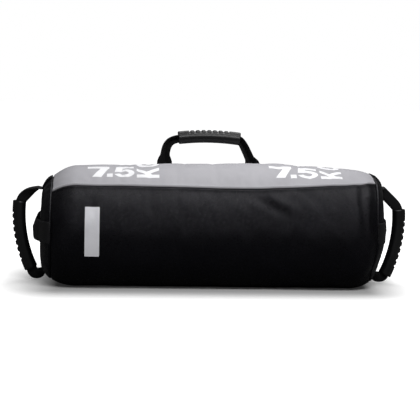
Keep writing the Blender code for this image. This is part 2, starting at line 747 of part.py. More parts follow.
def top_handle(parts, cutters):
    y, z = section(TOP_FOOT_TURN)
    angle = math.radians(TOP_FOOT_TURN)
    normal = Vector((0, math.cos(angle), math.sin(angle)))
    centre = Vector((-TOP_HANDLE_SHIFT, y, z)) + normal * PIVOT_STANDOFF
    place = Matrix.Translation(centre) @ Matrix.Rotation(math.radians(-90), 4, "Y")
    pivot = empty("top_handle_hinge", place, parts)
    half = TOP_FEET_SPACING / 2
    feet = Vector((0, 0, half)), Vector((0, 0, -half))
    shape = (TOP_GRIP_LENGTH, TOP_GRIP_BEND_RADIUS, 0, Vector((TOP_HANDLE_REACH, 0, 0)))
    grip("top_grip", *shape, parts, pivot)
    strap("top_strap", *feet, (TOP_LEAN, -TOP_LEAN), shape, parts, cutters, pivot)
    for word, x in (("left", centre.x - half), ("right", centre.x + half)):
        top_foot(f"top_{word}_foot", x, centre, parts, cutters)


def top_foot(name, x, centre, parts, cutters):
    """Webbing sewn down the back of the bag from the handle's hinge."""
    place = Matrix.Translation((x, 0, 0)) @ Matrix.Rotation(math.radians(90), 4, "Z")
    frame = empty(name + "_frame", place, parts)
    reach = math.degrees(TOP_FOOT_LENGTH / (BODY_DEPTH / 2))
    lift = -(WEBBING / 2 + GAP)
    path = []
    for turn in span(TOP_FOOT_TURN - reach, TOP_FOOT_TURN - reach / 8, CORNER_STEPS):
        point = skin(x, 0, turn, (0, 1), lift)
        path.append(Vector((point.y, 0, point.z)))
    gathered = (BUNDLE_THICKNESS, LEG_ACROSS)
    foot = Vector((centre.y, 0, centre.z))
    way = (path[-1] - path[-2]).normalized()
    pull = (foot - path[-1]).length / 2
    neck = bezier(path[-1], path[-1] + way * pull, foot - Vector((0, 0, pull)), foot, LEG_STEPS)
    sizes = [(WEBBING_WIDTH, WEBBING)] * len(path) + neck_sizes(gathered)
    made = add(name, sweep(path + neck[1:], sizes), WEBBING_BLACK, parts, frame)
    knuckle = bmesh.new()
    upright = post(knuckle, Vector((0, 0, 0)), KNUCKLE_RADIUS, LEG_THICKNESS)
    lying = Matrix.Translation(foot) @ Matrix.Rotation(math.radians(90), 4, "X")
    bmesh.ops.transform(knuckle, matrix=lying, verts=upright)
    combine(made, as_cutter(add(name + "_knuckle", knuckle, WEBBING_BLACK, cutters, frame)), "UNION")


def end_band(side, name, slack, parts):
    """Webbing across the middle of an end, sewn in at the seam in front and behind."""
    lift = WEBBING / 2 + GAP
    hug = []
    for degrees in span(END_SEAM_CORNER, 90, CORNER_STEPS):
        along, drop, out = corner(degrees)
        point = skin(along, drop, 0, out, -lift)
        hug.append(Vector((point.y, 0, point.x)))
    path = hug[:-1]
    for share in span(1, -1, BAND_STEPS):
        y = hug[-1].x * share
        path.append(Vector((y, 0, HALF + lift + slack * (1 - share**BAND_FLATNESS))))
    path += [Vector((-p.x, 0, p.z)) for p in reversed(hug[:-1])]
    place = Matrix(((0, 0, side, 0), (side, 0, 0, 0), (0, 1, 0, AXIS_HEIGHT), (0, 0, 0, 1)))
    frame = empty(name + "_frame", place, parts)
    add(name, sweep(path, [(WEBBING_WIDTH, WEBBING)] * len(path)), WEBBING_BLACK, parts, frame)


def build():
    clear_scene()
    parts, cutters = make_collections()
    main_panel(parts)
    top_panel(parts)
    for side, word in ((-1, "left"), (1, "right")):
        end_panel(side, word + "_end_panel", parts, cutters)
        end_seam_tape(side, word + "_end_seam_tape", parts)
        padding_disc(side, word + "_padding_disc", parts)
    long_seam_tape("front_seam_tape", FRONT_SEAM_TURN, parts)
    long_seam_tape("back_seam_tape", BACK_SEAM_TURN, parts)
    padding_roll(parts)
    sand_liner(parts)
    sand_fill(parts)
    liner_tie(parts)
    zip_tape("zip_upper_tape", 1, parts, cutters)
    zip_tape("zip_lower_tape", -1, parts, cutters)
    outer, y = zip_slider(parts, cutters)
    zip_pull(outer, y, parts, cutters)
    end_band(-1, "left_end_band", LEFT_BAND_SLACK, parts)
    end_band(1, "right_end_band", RIGHT_BAND_SLACK, parts)
    side_handle(-1, "left", LEFT_GRIP_FALL, LEFT_DROOP, parts, cutters)
    side_handle(1, "right", RIGHT_GRIP_FALL, RIGHT_DROOP, parts, cutters)
    top_handle(parts, cutters)


build()
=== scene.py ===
import math

import bmesh
import bpy
import numpy as np
from mathutils import Matrix, Vector, noise


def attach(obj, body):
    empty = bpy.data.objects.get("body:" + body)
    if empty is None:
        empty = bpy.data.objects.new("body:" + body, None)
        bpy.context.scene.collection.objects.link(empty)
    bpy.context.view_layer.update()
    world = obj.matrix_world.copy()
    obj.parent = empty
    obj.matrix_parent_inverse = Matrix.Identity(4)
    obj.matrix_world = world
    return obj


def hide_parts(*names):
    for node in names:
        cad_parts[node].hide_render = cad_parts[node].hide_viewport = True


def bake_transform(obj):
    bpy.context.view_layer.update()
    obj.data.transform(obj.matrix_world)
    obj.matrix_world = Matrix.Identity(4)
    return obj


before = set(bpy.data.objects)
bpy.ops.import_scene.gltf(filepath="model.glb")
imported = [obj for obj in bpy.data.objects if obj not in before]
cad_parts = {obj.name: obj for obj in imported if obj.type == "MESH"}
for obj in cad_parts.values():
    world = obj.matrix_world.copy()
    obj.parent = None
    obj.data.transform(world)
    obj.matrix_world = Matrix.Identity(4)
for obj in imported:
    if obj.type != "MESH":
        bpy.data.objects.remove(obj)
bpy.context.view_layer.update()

# The stuffed roll, in metres, as in the CAD
BODY_LENGTH = 0.608
BODY_HEIGHT = 0.215
BODY_DEPTH = 0.230
AXIS_HEIGHT = 0.100
BASE_WIDTH = 0.100
CORNER_LENGTH = 0.062
CORNER_DROP = 0.044
BARREL = 0.004
FLAT_HALF_TURN = 15.0
FRONT_SEAM = 133.5  # degrees of turn: from the back, over the top, to the front
BACK_SEAM = 46.5
END_SEAM = 45.0  # degrees round the end corner
RADIUS = BODY_HEIGHT / 2
HALF = BODY_LENGTH / 2
STRAIGHT = HALF - CORNER_LENGTH
CORNER_ARC = 0.0838  # length round the end corner
CORNER_END = STRAIGHT + CORNER_ARC
END_SEAM_STATION = STRAIGHT + CORNER_ARC * END_SEAM / 90

# Cloth and thread
CLOTH = 0.0010
MAP_RADIUS = 0.108  # of the roll, when its cloth is laid flat for the weave
SEAM_DEPTH = 0.0024
SEAM_REACH = 0.0013  # how near a seam the cloth dives into it
SEAM_ROLL = (0.00090, 0.0036, 0.0020)  # height, place and width of the roll beside a seam
SEAM_HALF_GAP = 0.0004
WEB_WIDTH = 0.038
WEB = 0.0021
WEB_LIFT = 0.0004  # between sewn-down webbing and the cloth
FOLD_RADIUS = 0.0016
THREAD = 0.00042
STITCH_MARGIN = 0.0046  # from a seam to the stitches beside it
PANEL_PITCH, BOX_PITCH = 0.0042, 0.0036
STITCH_SHARE = 0.68  # of the pitch
TAPE = 0.0009
TAPE_INSET = 0.0046
TAPE_WIDTH = 0.022
END_TAPE_HALF = 0.0080
LONG_TAPE_HALF = 0.242

# Handles, as in the CAD
PIVOT_STANDOFF = 0.0080
UPPER_FOOT_RISE = 0.074
LOWER_FOOT_FALL = 0.087
GRIP_ACROSS = 0.0220
GRIP_THICKNESS = 0.0210
STRIP_WIDTH = 0.0130
RIB_RISE = 0.0022
RIB_COUNT = 7
PLATEAU = 0.0210
BORE_ACROSS = 0.0126
BORE_THICKNESS = 0.0131
SIDE_GRIP = {"length": 0.124, "bend": 0.232, "tilt": 10.0}
SIDE_REACH = 0.0290
TOP_GRIP = {"length": 0.114, "bend": 0.430, "tilt": 0.0}
TOP_REACH = 0.0520
TOP_FOOT_TURN = 62.0
TOP_HALF_SPACING = 0.082
TOP_SHIFT = -0.003

# Each end handle: how far its grip hangs below the axis, how steeply the webbing leaves its upper foot in
# degrees, between which shares of the leg it folds, how much of the end corner it is sewn over, and how much
# lower than the solid's foot it leaves the end
LEFT_HANDLE = {"fall": 0.0180, "droop": 20, "fold": (0.26, 0.80), "sewn_share": 0.88, "foot_drop": 0.0070}
RIGHT_HANDLE = {"fall": 0.0235, "droop": 44, "fold": (0.05, 0.30), "sewn_share": 0.84, "foot_drop": 0.0020}

# Each leg of the top handle: its lean in degrees, and how far it runs on straight at its foot and at the grip,
# in half lengths of the leg
TOP_LEGS = {
    "left": {"lean": 0.0, "rising": 1.3, "shoulder": 0.85},
    "right": {"lean": 26.0, "rising": 1.0, "shoulder": 0.30},
}

# Each band across an end: how far it stands off, the tilt that brings its lower edge further out, its bend
# across the width, both in degrees, and how much higher it is sewn than the axis
LEFT_BAND = {"slack": 0.0122, "tilt": 8.5, "crease": 12, "climb": 0.0}
RIGHT_BAND = {"slack": 0.0072, "tilt": -5, "crease": 17, "climb": 0.0060}


SIDES = ((-1, "left"), (1, "right"))  # which way along x each end lies


# Shapes of the roll

# The front seam's climb, in degrees at places along the bag
DRIFT_PLACES = (
    -0.284, -0.248, -0.206, -0.166, -0.124, -0.062, 0.0, 0.044, 0.083, 0.128, 0.168, 0.214, 0.258, 0.284
)
DRIFT_DEGREES = (-5.0, -2.6, -1.6, -2.4, -0.8, 0.9, 1.9, 2.7, 2.9, 1.3, -2.4, -5.3, -9.3, -14.5)
DRIFT_SPREAD = 24  # degrees on either side that move with the seam

# The sag and fullness of the crest, and the heights above the axis between which it comes in
CREST_PLACES = (
    -0.326, -0.310, -0.284, -0.262, -0.247, -0.206, -0.165, -0.124, -0.060, 0.0, 0.050,
    0.083, 0.125, 0.168, 0.210, 0.230, 0.252, 0.264, 0.276, 0.286, 0.304, 0.326,
)
CREST_LIFTS = (
    -0.0020, -0.0060, -0.0100, -0.0060, -0.0040, -0.0038, -0.0045, -0.0028, -0.0012, -0.0007, 0.0008,
    0.0017, 0.0020, -0.0008, -0.0012, -0.0026, -0.0030, -0.0008, 0.0020, 0.0035, 0.0025, 0.0,
)
CREST_FROM, CREST_TO = AXIS_HEIGHT + 0.020, AXIS_HEIGHT + 0.085

# The right end is fuller at its upper corner and drawn in at its lower one: how far, at what height, and
# over what height
RIGHT_FULLNESS = (0.0055, 0.186, 0.026)
RIGHT_TUCK = (0.0075, 0.034, 0.036)
RIGHT_END_FROM, RIGHT_END_TO = 0.250, 0.300


def span(first, last, steps):
    return [first + (last - first) * k / steps for k in range(steps + 1)]


def bump(value, centre, width):
    """A soft hump of height 1."""
    return math.exp(-(((value - centre) / width) ** 2))


def smooth(value, low, high):
    share = min(max((value - low) / (high - low), 0.0), 1.0)
    return share * share * (3 - 2 * share)


def degrees_over(distance):
    """The turn that a distance over the cloth takes."""
    return math.degrees(distance / (BODY_DEPTH / 2))


def section(turn, inset=0.0):
    """The roll's cross-section as (y, z), at a turn in degrees."""
    half = BODY_DEPTH / 2 - inset
    turn = turn % 360
    if turn <= 180:
        angle = math.radians(turn)
        return half * math.cos(angle), AXIS_HEIGHT + (BODY_HEIGHT - AXIS_HEIGHT - inset) * math.sin(angle)
    flat = BASE_WIDTH / 2
    past = turn - 270
    if abs(past) <= FLAT_HALF_TURN:
        return flat * past / FLAT_HALF_TURN, inset
    angle = math.radians((abs(past) - FLAT_HALF_TURN) / (90 - FLAT_HALF_TURN) * 90)
    side = flat + (half - flat) * math.sin(angle)
    return math.copysign(side, past), AXIS_HEIGHT - (AXIS_HEIGHT - inset) * math.cos(angle)


def station(t):
    """Where a distance t from the middle, over the corner to the end's centre, lies: (along, drop, out)."""
    past = abs(t) - STRAIGHT
    if past <= 0:
        return t, 0.0, (0.0, 1.0)
    if past <= CORNER_ARC:
        angle = math.radians(90 * past / CORNER_ARC)
        out = Vector((CORNER_DROP * math.sin(angle), CORNER_LENGTH * math.cos(angle))).normalized()
        along = STRAIGHT + CORNER_LENGTH * math.sin(angle)
        return math.copysign(along, t), CORNER_DROP * (1 - math.cos(angle)), tuple(out)
    return math.copysign(HALF, t), CORNER_DROP + past - CORNER_ARC, (1.0, 0.0)


def seam_drift(t, turn):
    """The front seam climbs towards the ends, more at the right one, and takes the cloth beside it along."""
    drift = float(np.interp(t, DRIFT_PLACES, DRIFT_DEGREES))
    return drift * bump((turn - FRONT_SEAM + 180) % 360 - 180, 0, DRIFT_SPREAD)


def surface(t, turn, rise=0.0):
    """A point of the roll's surface, raised along its normal."""
    turn += seam_drift(t, turn)
    along, drop, out = station(t)
    y, z = section(turn, -rise * out[1])
    size = 1 - drop / RADIUS
    flatter = 1 - BARREL / BODY_HEIGHT * (along / HALF) ** 2
    x = along + rise * out[0] * math.copysign(1, along)
    high = (AXIS_HEIGHT + (z - AXIS_HEIGHT) * size) * flatter
    (push, push_height, push_width), (tuck, tuck_height, tuck_width) = RIGHT_FULLNESS, RIGHT_TUCK
    pushed = push * bump(high, push_height, push_width) - tuck * bump(high, tuck_height, tuck_width)
    x += smooth(t, RIGHT_END_FROM, RIGHT_END_TO) * pushed
    lift = smooth(high, CREST_FROM, CREST_TO) * float(np.interp(t, CREST_PLACES, CREST_LIFTS))
    return Vector((x, y * size * flatter, high + lift))


def surface_normal(t, turn):
    return (surface(t, turn, 0.001) - surface(t, turn)).normalized()


# Mesh helpers

def linked(name, mesh):
    made = bpy.data.objects.new(name, mesh)
    bpy.context.scene.collection.objects.link(made)
    return made


def new_object(name, vertices, faces, material=None):
    mesh = bpy.data.meshes.new(name)
    mesh.from_pydata([tuple(v) for v in vertices], [], faces)
    mesh.update()
    mesh.shade_smooth()
    if material:
        mesh.materials.append(material)
    return linked(name, mesh)


def mesh_of(bm, name):
    mesh = bpy.data.meshes.new(name)
    bm.to_mesh(mesh)
    bm.free()
    return mesh


def set_uv(thing, coordinates):
    """Gives every vertex its place on the flat cloth, in metres."""
    mesh = thing.data
    layer = mesh.uv_layers.new(name="cloth")
    index = np.empty(len(mesh.loops), dtype=np.int32)
    mesh.loops.foreach_get("vertex_index", index)
    layer.data.foreach_set("uv", np.asarray(coordinates, dtype=np.float32)[index].ravel())


def set_values(thing, name, values):
    """A number at each vertex that the material reads by name."""
    layer = thing.data.attributes.new(name, "FLOAT", "POINT")
    layer.data.foreach_set("value", np.asarray(values, dtype=np.float32))


def grid_faces(rows, columns, around=False):
    faces = []
    for r in range(rows - 1):
        for c in range(columns if around else columns - 1):
            after = (c + 1) % columns
            near, far = r * columns, (r + 1) * columns
            faces.append((near + c, near + after, far + after, far + c))
    return faces


def joined_faces(rows, columns):
    """Faces of a tube whose last ring joins its first one."""
    last = (rows - 1) * columns
    faces = grid_faces(rows, columns, around=True)
    for k in range(columns):
        after = (k + 1) % columns
        faces.append((last + k, last + after, after, k))
    return faces


def capped_faces(rows, columns):
    """Faces of a tube with a flat cap on each end."""
    last = (rows - 1) * columns
    return grid_faces(rows, columns, around=True) + [tuple(range(columns)), tuple(range(last, last + columns))]


def outward(thing):
    """Turns the faces so that a closed or open surface faces away from its inside."""
    bm = bmesh.new()
    bm.from_mesh(thing.data)
    bmesh.ops.recalc_face_normals(bm, faces=bm.faces)
    bm.to_mesh(thing.data)
    bm.free()


def thicken(thing, thickness):
    solid = thing.modifiers.new("thickness", "SOLIDIFY")
    solid.thickness = thickness
    solid.offset = -1
    solid.use_even_offset = True


# Finishes

FINISH = {}
FINE_RANGE = (0.3, 0.7)  # where most values of fine noise lie


class Graph:
    """A short way to place nodes in a material or a group and join them."""

    def __init__(self, tree):
        self.tree = tree

    def node(self, kind, **settings):
        made = self.tree.nodes.new(kind)
        for name, value in settings.items():
            setattr(made, name, value)
        return made

    def texture(self, kind, place, **numbers):
        """A texture node whose numbers are set by the names of its sockets."""
        made = self.node(kind)
        for label, value in numbers.items():
            made.inputs[label].default_value = value
        self.join(place, made.inputs["Vector"])
        return made

    def join(self, source, target):
        self.tree.links.new(source, target)

    def feed(self, socket, value):
        if isinstance(value, bpy.types.NodeSocket):
            self.join(value, socket)
        else:
            socket.default_value = value

    def sum(self, operation, *values, clamp=False):
        made = self.node("ShaderNodeMath", operation=operation, use_clamp=clamp)
        for socket, value in zip(made.inputs, values):
            self.feed(socket, value)
        return made.outputs[0]

    def between(self, share, low, high):
        """A colour between two, by a share."""
        made = self.node("ShaderNodeMix", data_type="RGBA")
        self.feed(made.inputs[0], share)
        self.feed(made.inputs[6], low)
        self.feed(made.inputs[7], high)
        return made.outputs[2]

    def scaled(self, value, low, high, to_low=0.0, to_high=1.0):
        made = self.node("ShaderNodeMapRange", clamp=True)
        for socket, item in zip(made.inputs, (value, low, high, to_low, to_high)):
            self.feed(socket, item)
        return made.outputs[0]

    def axes(self, vector):
        """The three numbers of a vector."""
        parts = self.node("ShaderNodeSeparateXYZ")
        self.join(vector, parts.inputs[0])
        return parts.outputs


def new_group(name, numbers, results):
    """An empty node group that takes a place and named numbers and gives named numbers."""
    tree = bpy.data.node_groups.new(name, "ShaderNodeTree")
    tree.interface.new_socket("Place", in_out="INPUT", socket_type="NodeSocketVector")
    for label, value in numbers.items():
        tree.interface.new_socket(label, in_out="INPUT", socket_type="NodeSocketFloat").default_value = value
    for label in results:
        tree.interface.new_socket(label, in_out="OUTPUT", socket_type="NodeSocketFloat")
    graph = Graph(tree)
    return tree, graph, graph.node("NodeGroupInput").outputs, graph.node("NodeGroupOutput").inputs


def embossed_lattice():
    """Rows of small raised lozenges, as pressed into coated fabric."""
    numbers = {"Across": 0.0036, "Along": 0.0026}
    tree, g, given, result = new_group("embossed lattice", numbers, ("Height", "Groove"))
    place = g.axes(given["Place"])
    u = g.sum("DIVIDE", place[0], given["Across"])
    v = g.sum("DIVIDE", place[1], given["Along"])
    first, second = (
        g.sum("ABSOLUTE", g.sum("SINE", g.sum("MULTIPLY", g.sum(way, u, v), math.pi)))
        for way in ("ADD", "SUBTRACT")
    )
    height = g.sum("POWER", g.sum("MULTIPLY", first, second), 0.45)
    g.join(height, result["Height"])
    g.join(g.scaled(height, 0.1, 0.5, 1.0, 0.0), result["Groove"])
    return tree


def woven_threads():
    """A plain or ribbed weave: threads that pass over and under each other."""
    numbers = {"Across": 0.0011, "Along": 0.0016}
    tree, g, given, result = new_group("woven threads", numbers, ("Height", "Gap"))
    place = g.axes(given["Place"])
    u = g.sum("SINE", g.sum("MULTIPLY", g.sum("DIVIDE", place[0], given["Across"]), math.pi))
    v = g.sum("SINE", g.sum("MULTIPLY", g.sum("DIVIDE", place[1], given["Along"]), math.pi))
    over = g.sum("MULTIPLY", u, v)
    warp, weft = (g.sum("POWER", g.sum("ABSOLUTE", thread), 0.5) for thread in (u, v))
    above = g.sum("MULTIPLY", g.scaled(over, -0.15, 0.15), warp)
    below = g.sum("MULTIPLY", g.scaled(over, 0.15, -0.15), weft)
    height = g.sum("ADD", above, g.sum("MULTIPLY", below, 0.75))
    g.join(height, result["Height"])
    g.join(g.scaled(height, 0.1, 0.6, 1.0, 0.0), result["Gap"])
    return tree


def uneven_tone():
    """Slow and fine unevenness, for colour and gloss that are never quite the same all over."""
    tree, g, given, result = new_group("uneven tone", {"Size": 0.05, "Fine Share": 0.3}, ("Value", "Fine"))
    slow, fine = (g.texture("ShaderNodeTexNoise", given["Place"], Detail=detail) for detail in (3.0, 2.0))
    for texture, factor in ((slow, 1.0), (fine, 24.0)):
        g.join(g.sum("DIVIDE", factor, given["Size"]), texture.inputs["Scale"])
    fine_part = g.sum("MULTIPLY", fine.outputs[0], given["Fine Share"])
    g.join(g.sum("ADD", fine_part, slow.outputs[0]), result["Value"])
    g.join(fine.outputs[0], result["Fine"])
    return tree


def dusting():
    """Pale dust that gathers where the surface faces up and in its hollows."""
    tree, g, given, result = new_group("dusting", {"Hollow": 0.0, "Amount": 0.1}, ("Mask",))
    spots = g.texture("ShaderNodeTexNoise", given["Place"], Scale=38.0, Detail=5.0)
    upward = g.scaled(g.axes(g.node("ShaderNodeNewGeometry").outputs["Normal"])[2], -0.2, 1.0)
    settles = g.sum("ADD", g.sum("MULTIPLY", upward, 0.7), given["Hollow"])
    mask = g.sum("MULTIPLY", g.scaled(spots.outputs[0], 0.42, 0.72), settles)
    g.join(g.sum("MULTIPLY", mask, given["Amount"], clamp=True), result["Mask"])
    return tree


def finish(name, **plain):
    """A new Principled material, with numbers that are the same all over set on the shader itself."""
    made = bpy.data.materials.new(name)
    made.use_nodes = True
    shader = made.node_tree.nodes["Principled BSDF"]
    for label, value in plain.items():
        shader.inputs[label.replace("_", " ").title().replace("Ior", "IOR")].default_value = value
    FINISH[name] = made
    return Graph(made.node_tree), shader


def surfaced(g, shader, colour, roughness, height, depth, strength=1.0):
    """Joins a finish's colour, roughness and fine relief to its shader."""
    g.join(colour, shader.inputs["Base Color"])
    g.join(roughness, shader.inputs["Roughness"])
    relief = g.node("ShaderNodeBump")
    relief.inputs["Strength"].default_value = strength
    relief.inputs["Distance"].default_value = depth
    g.join(height, relief.inputs["Height"])
    g.join(relief.outputs[0], shader.inputs["Normal"])


def place_group(g, tree, place, **values):
    made = g.node("ShaderNodeGroup")
    made.node_tree = tree
    g.join(place, made.inputs["Place"])
    for label, value in values.items():
        g.feed(made.inputs[label.replace("_", " ").title()], value)
    return made.outputs


def cloth_place(g):
    """The place on the flat cloth, from the mesh's own map."""
    return g.node("ShaderNodeUVMap", uv_map="cloth").outputs[0]


def object_place(g):
    return g.node("ShaderNodeTexCoord").outputs["Object"]


def vertex_value(g, name):
    """A number that the mesh carries at its vertices."""
    return g.node("ShaderNodeAttribute", attribute_name=name, attribute_type="GEOMETRY").outputs["Fac"]


def tone_over(g, groups, size, fine_share):
    """Unevenness over the object, as its whole value and its fine part."""
    tone = place_group(g, groups["tone"], object_place(g), size=size, fine_share=fine_share)
    return tone["Value"], tone["Fine"]


def coated_fabric(name, groups, dark, light, groove, dust, dust_share, rough, lattice, depth, seam_shade):
    """Fabric under an embossed coat. It is darker in its grooves, and a painted shade darkens it where it dives
    into a seam.
    """
    g, shader = finish(name, specular_ior_level=0.16, specular_tint=(0.92, 0.90, 1.0, 1))
    pattern = place_group(g, groups["lattice"], cloth_place(g), across=lattice[0], along=lattice[1])
    value, fine = tone_over(g, groups, 0.09, 0.25)
    dusty = place_group(g, groups["dust"], object_place(g), hollow=pattern["Groove"], amount=dust_share)
    base = g.between(g.scaled(value, 0.35, 0.85), dark, light)
    base = g.between(g.sum("MULTIPLY", pattern["Groove"], 0.55), base, groove)
    # Painted shade in the seams: within seam_shade of a seam, the colour is mixed towards near-black, as the
    # seam's shadow.
    painted_seam_shade = g.scaled(vertex_value(g, "seam_distance"), 0.4 * seam_shade, seam_shade, 1.0, 0.0)
    base = g.between(painted_seam_shade, base, (0.0015, 0.0015, 0.002, 1))
    uneven = g.scaled(fine, *FINE_RANGE, rough - 0.05, rough + 0.07)
    roughness = g.sum("ADD", uneven, g.sum("MULTIPLY", pattern["Groove"], 0.12), clamp=True)
    height = g.sum("ADD", pattern["Height"], g.sum("MULTIPLY", fine, 0.35))
    surfaced(g, shader, g.between(dusty["Mask"], base, dust), roughness, height, depth)


def webbing_finish(name, groups, dark, light, weave, depth):
    """Woven webbing or tape, dark between its threads, with a faint sheen."""
    g, shader = finish(name, specular_ior_level=0.12, sheen_weight=0.03, sheen_roughness=0.5)
    threads = place_group(g, groups["weave"], cloth_place(g), across=weave[0], along=weave[1])
    value, _ = tone_over(g, groups, 0.03, 0.4)
    share = g.sum("MULTIPLY", threads["Height"], g.scaled(value, 0.3, 0.9, 0.45, 1.0))
    roughness = g.scaled(threads["Gap"], 0.0, 1.0, 0.62, 0.9)
    surfaced(g, shader, g.between(share, dark, light), roughness, threads["Height"], depth)


def moulded_rubber(groups, dark, light, rubbed, dust):
    """Satin rubber with a fine grain, paler where hands rub the crests of its ribs."""
    g, shader = finish("moulded_rubber", specular_ior_level=0.45)
    value, fine = tone_over(g, groups, 0.035, 0.5)
    dusty = place_group(g, groups["dust"], object_place(g), hollow=0.05, amount=0.06)
    worn = g.sum("MULTIPLY", vertex_value(g, "crest"), g.scaled(fine, 0.35, 0.7, 0.35, 0.8))
    base = g.between(worn, g.between(g.scaled(value, 0.4, 0.95), dark, light), rubbed)
    roughness = g.sum("SUBTRACT", g.scaled(fine, *FINE_RANGE, 0.28, 0.40), g.sum("MULTIPLY", worn, 0.08))
    grain = g.texture("ShaderNodeTexVoronoi", object_place(g), Scale=1500.0)
    height = g.sum("ADD", grain.outputs["Distance"], fine)
    surfaced(g, shader, g.between(dusty["Mask"], base, dust), roughness, height, 0.00010, 0.6)


def thread_finish(name, dark, light):
    """Twisted sewing thread."""
    g, shader = finish(name, specular_ior_level=0.15)
    twist = g.texture("ShaderNodeTexWave", object_place(g), Scale=900.0)
    twist.bands_direction = "DIAGONAL"
    turns = twist.outputs["Fac"]
    surfaced(g, shader, g.between(turns, dark, light), g.scaled(turns, 0.0, 1.0, 0.72, 0.55), turns, 0.00012)


def printed_ink(name, groups, colour, shade):
    """Flexible print that sits in the fabric's texture, a little worn."""
    g, shader = finish(name, specular_ior_level=0.35)
    value, fine = tone_over(g, groups, 0.02, 0.6)
    base = g.between(g.scaled(value, 0.35, 0.95), shade, colour)
    surfaced(g, shader, base, g.scaled(fine, *FINE_RANGE, 0.45, 0.62), fine, 0.0001, 0.5)


def fibrous(name, groups, dark, light, size, depth):
    """Loose fibres or grains, soft and matt."""
    g, shader = finish(name, specular_ior_level=0.2, sheen_weight=0.2)
    value, _ = tone_over(g, groups, size, 0.8)
    strands = g.texture("ShaderNodeTexNoise", object_place(g), Scale=420.0, Detail=6.0, Distortion=1.6)
    fibres = strands.outputs[0]
    base = g.between(g.scaled(value, 0.4, 1.2), dark, light)
    surfaced(g, shader, base, g.scaled(fibres, *FINE_RANGE, 0.82, 0.96), fibres, depth)


def enamelled_zinc(groups, enamel, zinc):
    """Black enamel, chipped here and there down to the metal."""
    g, shader = finish("zip_metal", specular_ior_level=0.5)
    value, fine = tone_over(g, groups, 0.008, 0.6)
    chip = g.scaled(value, 0.98, 1.06)
    g.join(chip, shader.inputs["Metallic"])
    surfaced(g, shader, g.between(chip, enamel, zinc), g.scaled(fine, *FINE_RANGE, 0.24, 0.40), fine, 0.00003)


def zip_nylon(groups, dark, light):
    """Zip tape, woven in the plane of the bag's end."""
    g, shader = finish("zip_nylon", specular_ior_level=0.45)
    value, fine = tone_over(g, groups, 0.01, 0.5)
    turned = g.texture("ShaderNodeVectorRotate", object_place(g), Angle=math.radians(90))
    turned.rotation_type = "Y_AXIS"
    threads = place_group(g, groups["weave"], turned.outputs[0], across=0.0006, along=0.0008)
    base = g.between(g.scaled(value, 0.4, 0.9), dark, light)
    surfaced(g, shader, base, g.scaled(fine, *FINE_RANGE, 0.42, 0.6), threads["Height"], 0.00008)


def make_finishes():
    groups = {"lattice": embossed_lattice(), "weave": woven_threads()}
    groups.update({"tone": uneven_tone(), "dust": dusting()})
    coated_fabric(
        "black_fabric", groups, dark=(0.0014, 0.0014, 0.0021, 1), light=(0.0026, 0.0026, 0.0038, 1),
        groove=(0.0030, 0.0030, 0.0036, 1), dust=(0.10, 0.10, 0.11, 1), dust_share=0.03,
        rough=0.29, lattice=(0.0040, 0.0030), depth=0.00040, seam_shade=0.0030,
    )
    coated_fabric(
        "grey_fabric", groups, dark=(0.375, 0.370, 0.395, 1), light=(0.440, 0.435, 0.460, 1),
        groove=(0.36, 0.355, 0.38, 1), dust=(0.60, 0.60, 0.60, 1), dust_share=0.05,
        rough=0.50, lattice=(0.0018, 0.0014), depth=0.00006, seam_shade=0.0017,
    )
    webbing_finish(
        "black_webbing", groups, dark=(0.0030, 0.0030, 0.0034, 1), light=(0.015, 0.015, 0.0165, 1),
        weave=(0.0022, 0.0030), depth=0.00045,
    )
    webbing_finish(
        "binding_tape", groups, dark=(0.010, 0.010, 0.011, 1), light=(0.030, 0.030, 0.032, 1),
        weave=(0.0008, 0.0010), depth=0.00015,
    )
    moulded_rubber(
        groups, dark=(0.0022, 0.0022, 0.0026, 1), light=(0.0045, 0.0045, 0.0052, 1),
        rubbed=(0.011, 0.011, 0.012, 1), dust=(0.10, 0.10, 0.10, 1),
    )
    thread_finish("black_thread", dark=(0.005, 0.005, 0.006, 1), light=(0.018, 0.018, 0.020, 1))
    thread_finish("grey_thread", dark=(0.50, 0.50, 0.52, 1), light=(0.74, 0.74, 0.76, 1))
    printed_ink("white_print", groups, colour=(0.90, 0.90, 0.92, 1), shade=(0.80, 0.80, 0.83, 1))
    printed_ink("patch_print", groups, colour=(0.80, 0.80, 0.84, 1), shade=(0.70, 0.70, 0.74, 1))
    for name, dark, light, size, depth in (
        ("wadding", (0.58, 0.56, 0.52, 1), (0.78, 0.76, 0.72, 1), 0.02, 0.0006),
        ("liner_cloth", (0.46, 0.44, 0.40, 1), (0.60, 0.58, 0.53, 1), 0.03, 0.0002),
        ("sand", (0.42, 0.33, 0.22, 1), (0.66, 0.56, 0.41, 1), 0.004, 0.0006),
    ):
        fibrous(name, groups, dark, light, size, depth)
    enamelled_zinc(groups, enamel=(0.020, 0.020, 0.022, 1), zinc=(0.42, 0.42, 0.43, 1))
    zip_nylon(groups, dark=(0.010, 0.010, 0.011, 1), light=(0.022, 0.022, 0.024, 1))


# The stuffed cloth

SIM_ROWS = 132
SIM_COLUMNS = 120
SIM_FRAMES = 20
SIM_CAP = 0.0042
SIM_CLOTH = {
    "quality": 6, "mass": 0.35, "tension_stiffness": 18, "compression_stiffness": 18, "shear_stiffness": 6,
    "bending_stiffness": 0.35, "use_pressure": True, "uniform_pressure_force": 4.0, "shrink_min": -0.022,
    "vertex_group_mass": "sewn",
}
SIM_SLACK = -0.0030  # the shell starts this far inside the roll
SIM_REACH = 0.985  # how far in its ends go, as a share of the flat part
LAST_STATION = CORNER_END + (RADIUS - CORNER_DROP) * SIM_REACH
# How far beside a long seam, in columns, and beside an end seam it is held, and from how far past the corner
HELD_COLUMN_SHARE, HELD_BESIDE_END_SEAM, HELD_PAST_CORNER = 0.55, 0.0034, 0.03


